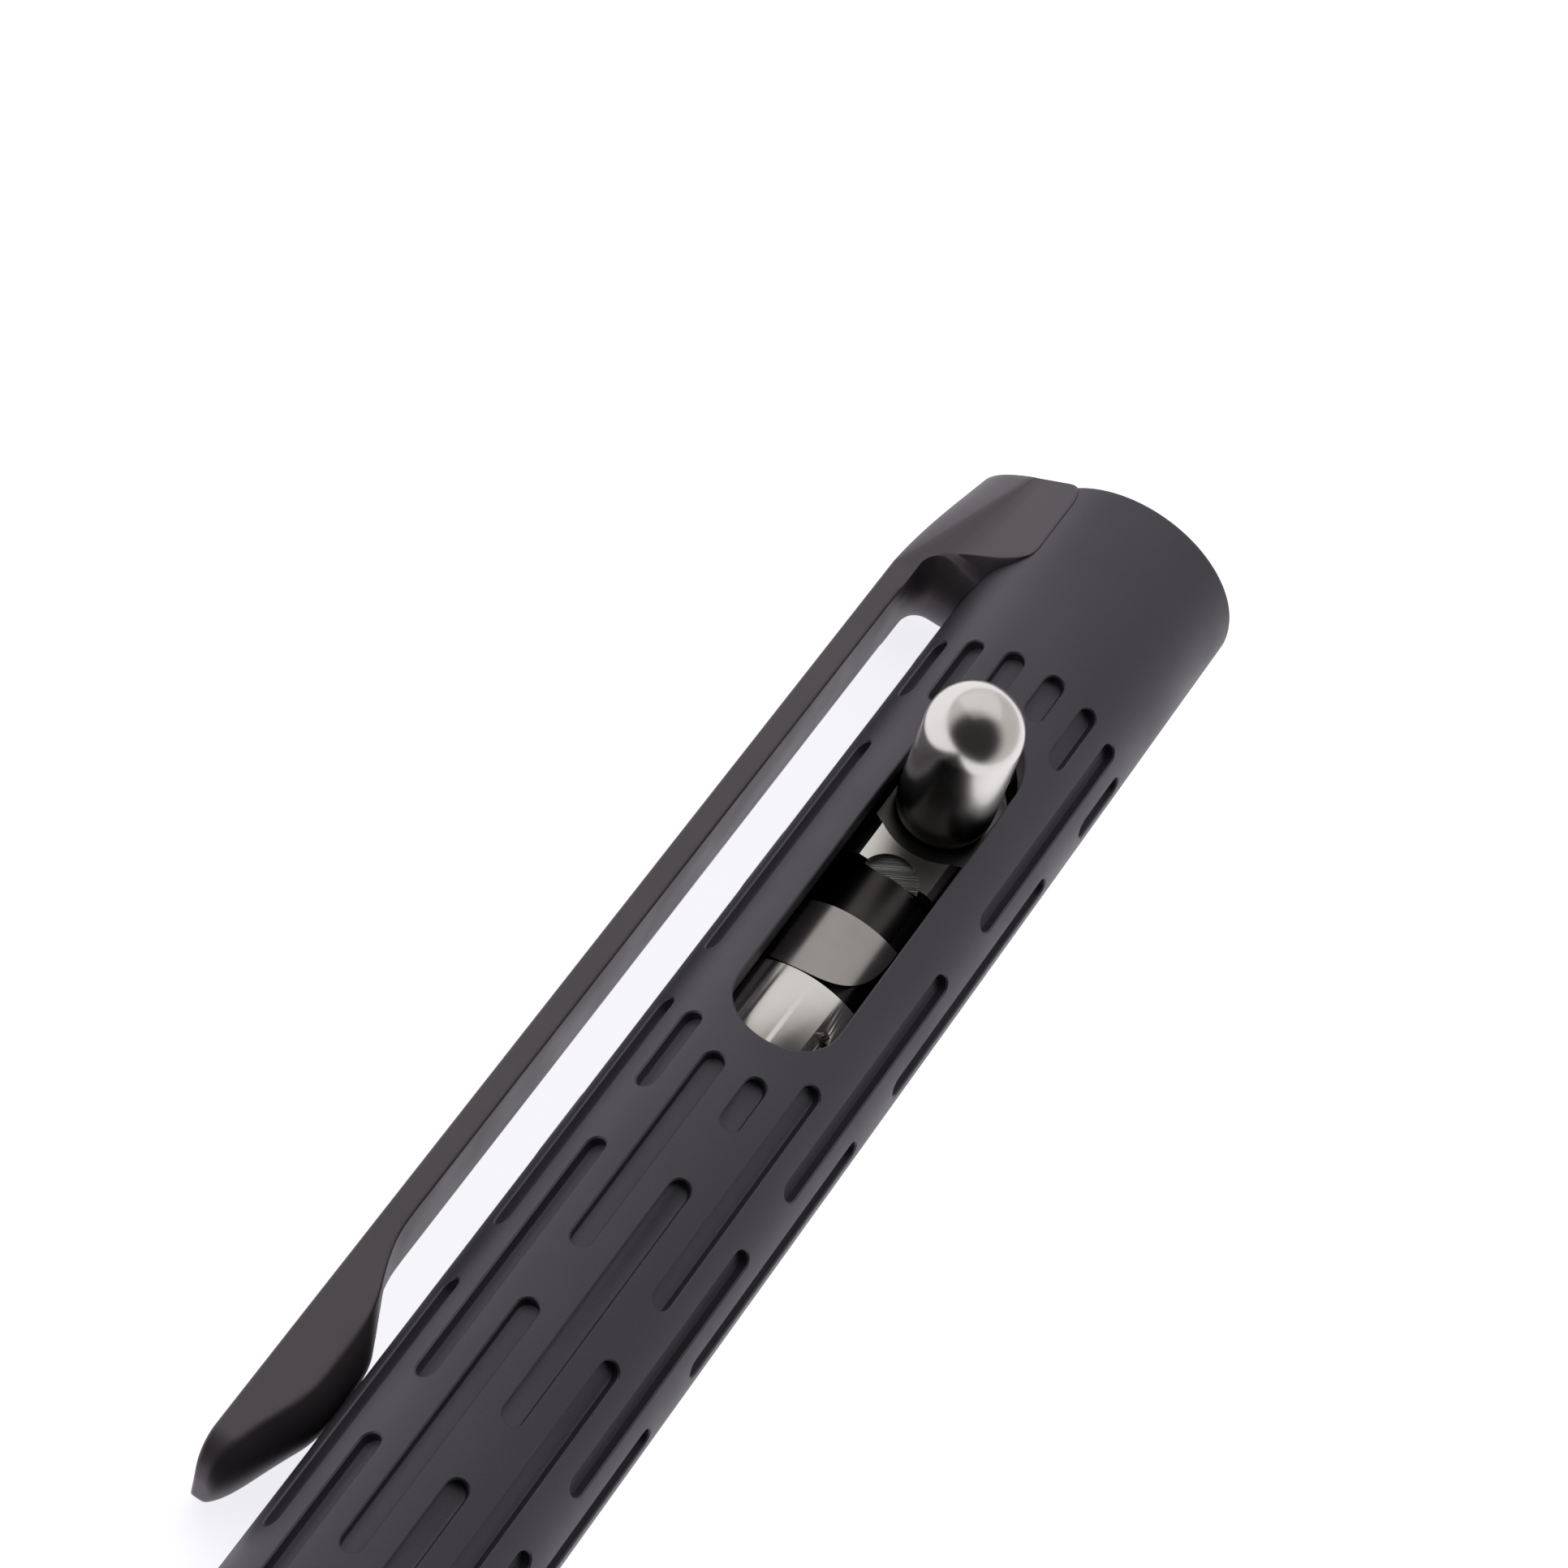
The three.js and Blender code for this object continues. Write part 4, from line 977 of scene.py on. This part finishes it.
    def arm(self, sizes, place, side, keel, tip=0):
        """The outline across the arm or the foot, whose underside bulges like a keel."""
        half = sizes.width / 2 - sizes.tip_radius * tip
        top = sizes.height - sizes.tip_round * tip
        edge = sizes.edge
        keel += sizes.tip_round * tip
        side = min(side, top - 2.5 * edge)
        base = []
        for i in range(BASE_STEPS + 1):
            share = i / BASE_STEPS
            base.append(Vector((half * share, keel + (side - keel) * share**2)))
        inner = base[-1].lerp(base[-2], min(1, edge / (half / BASE_STEPS)))
        corner, upper = Vector((half, side)), Vector((half, side + edge))
        points = base[:-1]
        points[-1] = points[-1].lerp(points[-2], 0.5)
        leave = inner.lerp(corner, 0.2)
        points += divided(inner, leave, WALL_STEPS)
        points += rounded(leave, corner, upper, CORNER_STEPS)[:-1]
        side_top, crest = Vector((half, top - edge)), Vector((half - edge, top))
        points += divided(upper, side_top, 2 * FLANK_STEPS)
        points += rounded(side_top, Vector((half, top)), crest, CREST_STEPS) + [Vector((0, top))]
        return mirrored([(p.x, p.y) for p in points], place)

    def slot(self, sizes):
        """The end of the gap under the arm, which reaches further back at its sides."""
        underside = sizes.height - sizes.thickness
        radius = sizes.slot_corner
        reach = FRONT_EDGE[-1][0] * MM + 2 * sizes.edge
        outlines, half_steps = [], 12
        for i in range(2 * half_steps + 1):
            share = i / half_steps - 1
            end = sizes.slot_end - sizes.slot_flare * share**2
            bend = arc((end + radius, underside - radius), radius, QUARTER, 2 * QUARTER, 12)
            outline = [(reach, underside), *bend, (end, 0), (reach, 0)]
            outlines.append([(x, sizes.width * 0.6 * share, z) for x, z in outline])
        return skinned("slot", outlines)


# How far the half-moon cut's floor leans forwards, and the way its milling marks run across
POCKET_TILT = math.radians(14)
MILLING = Vector((0.88, 0, -0.48))

# The crown's lobes: how far the first is turned from the slot, the half angle that one spans, and
# how full its front edge is, where 2 is an ellipse
LOBE_TURN = math.radians(15)
LOBE_HALF = math.radians(50)
LOBE_FULLNESS = 2.6


class PEN_OT_bolt(bpy.types.Operator):
    """Turn the knob, mill the carriage and cut the crown's lobes"""

    bl_idname = "pen.bolt"
    bl_label = "Knob, Carriage and Crown"

    def execute(self, context):
        sizes, finish = context.scene.pen_bolt, context.scene.pen_finish
        self.knob(sizes, finish)
        self.carriage(sizes, finish)
        self.crown(sizes, finish)
        return {"FINISHED"}

    def knob(self, sizes, finish):
        """The knob, round at its head and at its foot, on its stud."""
        radius, foot, stud = sizes.diameter / 2, sizes.foot / 2, sizes.stud / 2
        seat = sizes.seat + sizes.seat_gap
        profile = [(seat - sizes.stud_length, 0), (seat - sizes.stud_length, stud), (seat, stud)]
        rise = arc((0, 0), 1, 0, QUARTER, 8)
        for a, b in rise:
            profile.append((seat + sizes.foot_height * (1 - a), foot + (radius - foot) * b))
        centre = sizes.height - radius
        profile += [(centre + y, x) for x, y in arc((0, 0), radius, 0, QUARTER, 20)[:-1]]
        profile.append((sizes.height, 0))
        knob = turned("round_knob", profile, sides=96, axis="Y")
        knob.data.transform(Matrix.Translation((sizes.place, 0, 0)))
        shade(knob, 35)
        # Tumbling blurs the rings of the lathe, so the knob mirrors the room softly
        steel = turned_metal(
            "tumbled stainless steel", finish.steel, 0.12 * MM, slot_direction(), 0.24
        )
        place_piece(knob, "bolt", steel, ["bolt_knob"])

    def carriage(self, sizes, finish):
        """The carriage's turned body, with its flat, the knob's seat and the half-moon cut."""
        rear, front = sizes.place - sizes.tail, sizes.place + sizes.lead
        radius, land, stem = sizes.body / 2, sizes.land / 2, sizes.stem / 2
        land_front = rear + sizes.land_length
        stem_front = extent("bolt_carriage")[1]
        profile = [(rear, 0), (rear, land), (land_front, land), (land_front, radius)]
        profile += [(front, radius), (front, stem), (stem_front, stem), (stem_front, 0)]
        carriage = turned("milled_carriage", profile)
        combine(carriage, self.flat(sizes, land_front, front))
        above = 2 * radius
        seat = turned("seat", rod(sizes.seat, above, sizes.seat_diameter / 2), axis="Y")
        hole_floor = sizes.seat - sizes.stud_hole_depth
        hole = turned("hole", rod(hole_floor, above, sizes.stud_hole / 2), sides=64, axis="Y")
        for cutter in (seat, hole):
            cutter.data.transform(Matrix.Translation((sizes.place, 0, 0)))
            combine(carriage, cutter)
        combine(carriage, self.pocket(sizes, front, above))
        shade(carriage, 15)
        # Fine rings from the lathe give the body a clear gloss
        steel = turned_metal("turned stainless steel", finish.steel, 0.1 * MM, ALONG, 0.2)
        place_piece(carriage, "bolt", steel, ["bolt_carriage"])
        # The cutter's deep tracks make the half-moon a striped grey, and the seat is painted a
        # darker grey for the knob's shadow on it
        ridges = PEN.to_3x3() @ MILLING
        milled = turned_metal("end-milled steel", finish.milled, 0.08 * MM, ridges, 0.3, relief=16)
        seat_shadow = turned_metal("milled steel with painted knob shadow", finish.seat_shadow, 0.08 * MM, ridges, 0.3)
        carriage.data.materials.append(milled)
        carriage.data.materials.append(seat_shadow)
        tilted = PEN.to_3x3() @ Vector((math.sin(POCKET_TILT), math.cos(POCKET_TILT), 0))
        # The half-moon's tilted floor takes the milled steel, and the seat's faces take the darker
        # steel of the painted knob shadow
        for face in carriage.data.polygons:
            height = (PEN.inverted() @ face.center).y
            if face.normal.dot(tilted) > 0.9999:
                face.material_index = 1
            elif abs(height - sizes.seat) < NEAR and face.normal.dot(slot_direction()) > 0.999:
                face.material_index = 2

    def flat(self, sizes, rear, front):
        """What the mill takes off the body for its flat."""
        half, front = sizes.body / 2, front + OVERRUN
        top = [(rear, -half), (front, -half), (front, half), (rear, half)]
        levels = (sizes.flat, sizes.flat + half)
        return skinned("flat", [[(x, y, z) for x, z in top] for y in levels])

    def pocket(self, sizes, front, above):
        """The round cutter of the half-moon cut, tilted as it went in."""
        reach = sizes.pocket_reach
        radius = (sizes.pocket_half**2 + reach**2) / (2 * reach)
        pocket = turned("pocket", rod(0, above, radius), sides=64, axis="Y")
        pocket.data.transform(Matrix.Rotation(-POCKET_TILT, 4, "Z"))
        place = (front - reach + radius, sizes.flat - sizes.pocket_depth, 0)
        pocket.data.transform(Matrix.Translation(place))
        return pocket

    def crown(self, sizes, finish):
        """The crown's hub with its two rounded lobes."""
        rear = sizes.place + sizes.lead + sizes.crown_gap
        base = sizes.place + sizes.lead + sizes.neck
        front = base + sizes.lobe - SEAT_GAP
        hub, bore = sizes.hub / 2, sizes.stem / 2 + FIT_GAP
        crown = turned("lobed_crown", [(rear, hub), (front, hub), (front, bore), (rear, bore)])
        for turn in (LOBE_TURN, LOBE_TURN + math.pi):
            combine(crown, self.lobe(sizes, base, turn), "UNION")
        shade(crown, 20)
        # The lobes are drawn a darker grey and the neck behind them nearly black: painted shade for
        # the crown deep in the slot
        crown_shade = turned_metal("crown steel with painted shade", finish.crown_shade, 0.1 * MM, ALONG, 0.26)
        neck_shade = turned_metal("neck steel with painted shade", finish.neck_shade, 0.1 * MM, ALONG, 0.3)
        place_piece(crown, "bolt", crown_shade, ["cam_crown"])
        crown.data.materials.append(neck_shade)
        # Painted shade: the neck's faces behind the lobes take the near-black steel
        for face in crown.data.polygons:
            centre = PEN.inverted() @ face.center
            if centre.x < base and math.hypot(centre.y, centre.z) > hub - 2 * NEAR:
                face.material_index = 1

    def lobe(self, sizes, base, turn):
        """One lobe as a curved finger with a rounded front edge."""
        inner, outer = sizes.hub / 2 - sizes.lobe_root, sizes.crown / 2
        outlines, steps = [], 48
        for i in range(steps + 1):
            angle = -math.cos(math.pi * i / steps) * LOBE_HALF
            share = min(1, abs(angle) / LOBE_HALF)
            reach = (1 - share**LOBE_FULLNESS) ** (1 / LOBE_FULLNESS)
            front = base + max(sizes.lobe * reach, sizes.lobe_least)
            c, s = math.cos(angle + turn), math.sin(angle + turn)
            ring = [(base, inner), (base, outer), (front, outer), (front, inner)]
            outlines.append([(x, r * c, r * s) for x, r in ring])
        return skinned("lobe", outlines)


# How far the drilled mark on the turning cup is turned from the slot
MARK_TURN = math.radians(-28)


class PEN_OT_inner_parts(bpy.types.Operator):
    """Finish the turning cup, refill, sleeve, plug, rings, screws and spring"""

    bl_idname = "pen.inner_parts"
    bl_label = "Inner Parts"

    def execute(self, context):
        sizes, finish = context.scene.pen_inner, context.scene.pen_finish
        # Rings from the lathe give the cup, plug, screws and point a clear gloss
        steel = turned_metal("turned stainless steel parts", finish.steel, 0.1 * MM, ALONG, 0.22)
        # Brass takes a duller, warmer gloss from the same lathe
        brass = turned_metal("turned brass", finish.brass, 0.1 * MM, ALONG, 0.3)
        # The die that the wire was drawn through leaves it a satin grey
        wire = turned_metal("drawn spring wire", finish.wire, 0.2 * MM, ALONG, 0.3)
        # Rubber is nearly without gloss, the moulded plug has a weak one and wet ink a strong one
        rubber = moulded_polymer("moulded nitrile rubber", finish.rubber, 0.7)
        polymer = moulded_polymer("moulded refill plug", finish.plug, 0.45)
        ink = moulded_polymer("ink paste", finish.ink, 0.2)
        self.rotor(sizes, steel)
        self.point(sizes, steel)
        self.spring(sizes, wire)
        finishes = {
            "rear_plug": steel,
            "rear_plug_o_ring": rubber,
            "clip_screw_1": steel,
            "clip_screw_2": steel,
            "guide_sleeve": brass,
            "refill_tail_plug": polymer,
            "refill_tube": brass,
            "ink_column": ink,
            "refill_nose": brass,
            "nose_o_ring": rubber,
        }
        for name, material in finishes.items():
            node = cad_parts[name]
            node.data.materials.clear()
            node.data.materials.append(material)
        return {"FINISHED"}

    def point(self, sizes, metal):
        """The refill's turned point and the ball that rolls in it."""
        low, high = extent("refill_point")
        ball_low, ball_high = extent("writing_ball")
        ball = (ball_high - ball_low) / 2
        radius, stub, feed = sizes.point / 2, sizes.point_stub / 2, sizes.feed / 2
        socket, floor = ball + sizes.ball_play, ball_low - sizes.ball_play
        shoulder = low + sizes.point_stub_length
        profile = [(low, stub), (shoulder, stub), (shoulder, radius)]
        profile += [(high - sizes.point_taper, radius), (high, socket + sizes.point_lip)]
        profile += [(high, socket), (floor, socket), (floor, feed), (low, feed)]
        point = turned("writing_point", profile, sides=64)
        shade(point, 25)
        place_piece(point, "refill", metal, ["refill_point"])
        centre = ((ball_low + ball_high) / 2, 0)
        sphere = turned("rolling_ball", arc(centre, ball, 2 * QUARTER, 0, 24), sides=48)
        shade(sphere, 60)
        place_piece(sphere, "ball", metal, ["writing_ball"])

    def spring(self, sizes, metal):
        """The return spring, coiled from round wire, which rides with the refill."""
        low, high = extent("return_spring")
        wire, coil, steps = sizes.wire / 2, sizes.coil / 2, 32
        count = sizes.turns * steps
        outlines = []
        for i in range(count + 1):
            angle = 2 * math.pi * i / steps
            place = low + wire + (high - low - 2 * wire) * i / count
            section = arc((place, coil), wire, 0, 4 * QUARTER, 12)[:-1]
            c, s = math.cos(angle), math.sin(angle)
            outlines.append([(x, r * c, r * s) for x, r in section])
        spring = skinned("coiled_wire", outlines)
        shade(spring, 60)
        place_piece(spring, "refill", metal, ["return_spring"])
        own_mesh(spring)

    def rotor(self, sizes, metal):
        """The turning cup's visible outside, with its small drilled mark."""
        low, high = extent("cam_rotor")
        head, skirt, bore = sizes.cup / 2, sizes.skirt / 2, sizes.skirt_bore / 2
        shoulder, web = low + sizes.cup_length, low + sizes.web
        rear = low - sizes.cup_set_back
        profile = [(rear, 0), (rear, head), (shoulder, head), (shoulder, skirt)]
        profile += [(high, skirt), (high, bore), (web, bore), (web, 0)]
        rotor = turned("turning_cup", profile)
        above = head + OVERRUN
        mark = turned("mark", rod(sizes.mark_floor, above, sizes.mark / 2), sides=32, axis="Y")
        mark.data.transform(Matrix.Translation((rear + sizes.mark_place, 0, 0)))
        mark.data.transform(Matrix.Rotation(MARK_TURN, 4, "X"))
        combine(rotor, mark)
        soften(rotor, sizes.cup_edge)
        place_piece(rotor, "rotor", metal, ["cam_rotor"])


class PEN_OT_stage(bpy.types.Operator):
    """Set the camera, the lamp, the pale floor and the white surround"""

    bl_idname = "pen.stage"
    bl_label = "Studio"

    def execute(self, context):
        settings = context.scene.pen_stage
        self.camera(context, settings)
        self.lamp(context, settings)
        self.floor(settings)
        self.surround(context, settings)
        context.scene.view_settings.view_transform = "Standard"
        return {"FINISHED"}

    def camera(self, context, settings):
        """The camera at the picture's own viewpoint."""
        data = bpy.data.cameras.new("view")
        data.lens = settings.lens
        data.sensor_width = 36
        data.clip_start = 5 * MM
        camera = bpy.data.objects.new("view", data)
        camera.location = settings.camera_place
        camera.rotation_euler = settings.camera_turn
        context.scene.collection.objects.link(camera)
        context.scene.camera = camera

    def lamp(self, context, settings):
        """A large soft square lamp that faces a point of the pen."""
        data = bpy.data.lights.new("key", "AREA")
        data.size = settings.key_width
        data.energy = settings.key
        lamp = bpy.data.objects.new("key", data)
        lamp.location = settings.key_place
        facing = Vector(settings.key_target) - Vector(settings.key_place)
        lamp.rotation_euler = facing.to_track_quat("-Z", "Y").to_euler()
        context.scene.collection.objects.link(lamp)

    def floor(self, settings):
        """A wide sheet of pale paper that keeps the pen's shadow."""
        half = settings.floor_width / 2
        corners = [(-half, -half, 0), (half, -half, 0), (half, half, 0), (-half, half, 0)]
        floor = mesh_object("floor", corners, [(0, 1, 2, 3)])
        # Uncoated paper scatters light evenly: it shows a soft shadow and no gloss
        material, tree, shader = new_surface("pale matte paper", {"Roughness": 0.9})
        shader.inputs["Base Color"].default_value = (*settings.floor, 1)
        path = add_node(tree, "ShaderNodeLightPath")
        seen = add_node(
            tree,
            "ShaderNodeMath",
            {"operation": "MAXIMUM"},
            {0: path.outputs["Is Camera Ray"], 1: path.outputs["Is Glossy Ray"]},
        )
        glow = add_node(
            tree,
            "ShaderNodeMath",
            {"operation": "MULTIPLY", 1: settings.floor_glow},
            {0: seen.outputs["Value"]},
        )
        shader.inputs["Emission Color"].default_value = (*settings.floor, 1)
        tree.links.new(glow.outputs["Value"], shader.inputs["Emission Strength"])
        floor.data.materials.append(material)

    def surround(self, context, settings):
        """A white room that is dark only on the camera's side, where its user stands."""
        world = bpy.data.worlds.new("white room")
        world.use_nodes = True
        tree = world.node_tree
        tree.nodes.clear()
        towards = Vector(settings.dark_centre).normalized()
        place = add_node(tree, "ShaderNodeTexCoord").outputs["Generated"]
        facing = add_node(
            tree,
            "ShaderNodeVectorMath",
            {"operation": "DOT_PRODUCT", 1: tuple(towards)},
            {0: place},
        )
        room = add_node(
            tree,
            "ShaderNodeMapRange",
            {
                "interpolation_type": "SMOOTHSTEP",
                "From Min": math.cos(settings.dark_edge),
                "From Max": math.cos(settings.dark_core),
                "To Min": settings.surround,
                "To Max": settings.dark_share * settings.surround,
            },
            {"Value": facing.outputs["Value"]},
        )
        path = add_node(tree, "ShaderNodeLightPath")
        strength = add_node(
            tree,
            "ShaderNodeMath",
            {"operation": "MAXIMUM"},
            {0: room.outputs["Result"], 1: path.outputs["Is Camera Ray"]},
        )
        light = add_node(
            tree,
            "ShaderNodeBackground",
            {"Color": (1, 1, 1, 1)},
            {"Strength": strength.outputs["Value"]},
        )
        add_node(tree, "ShaderNodeOutputWorld", links={"Surface": light.outputs["Background"]})
        context.scene.world = world


class PEN_PT_panel(bpy.types.Panel):
    """Lists the pen's pieces and their settings"""

    bl_label = "Bolt Action Pen"
    bl_idname = "PEN_PT_panel"
    bl_space_type = "VIEW_3D"
    bl_region_type = "UI"
    bl_category = "Bolt Pen"

    def draw(self, context):
        for operator in OPERATORS:
            self.layout.operator(operator.bl_idname)
        for name in SETTING_GROUPS:
            settings = getattr(context.scene, name)
            box = self.layout.box()
            for key in settings.__annotations__:
                box.prop(settings, key)


OPERATORS = (PEN_OT_barrel, PEN_OT_clip, PEN_OT_bolt, PEN_OT_inner_parts, PEN_OT_stage)
CLASSES = (*SETTING_GROUPS.values(), *OPERATORS, PEN_PT_panel)


def register():
    """Register the classes, and give every scene their settings."""
    for cls in CLASSES:
        bpy.utils.register_class(cls)
    for name, group in SETTING_GROUPS.items():
        setattr(bpy.types.Scene, name, bpy.props.PointerProperty(type=group))


def unregister():
    """Take the settings and the classes away again."""
    for name in SETTING_GROUPS:
        delattr(bpy.types.Scene, name)
    for cls in reversed(CLASSES):
        bpy.utils.unregister_class(cls)


def main():
    """Build the pen and its stage."""
    register()
    bpy.ops.pen.barrel()
    bpy.ops.pen.clip()
    bpy.ops.pen.bolt()
    bpy.ops.pen.inner_parts()
    bpy.ops.pen.stage()


if __name__ == "__main__":
    main()
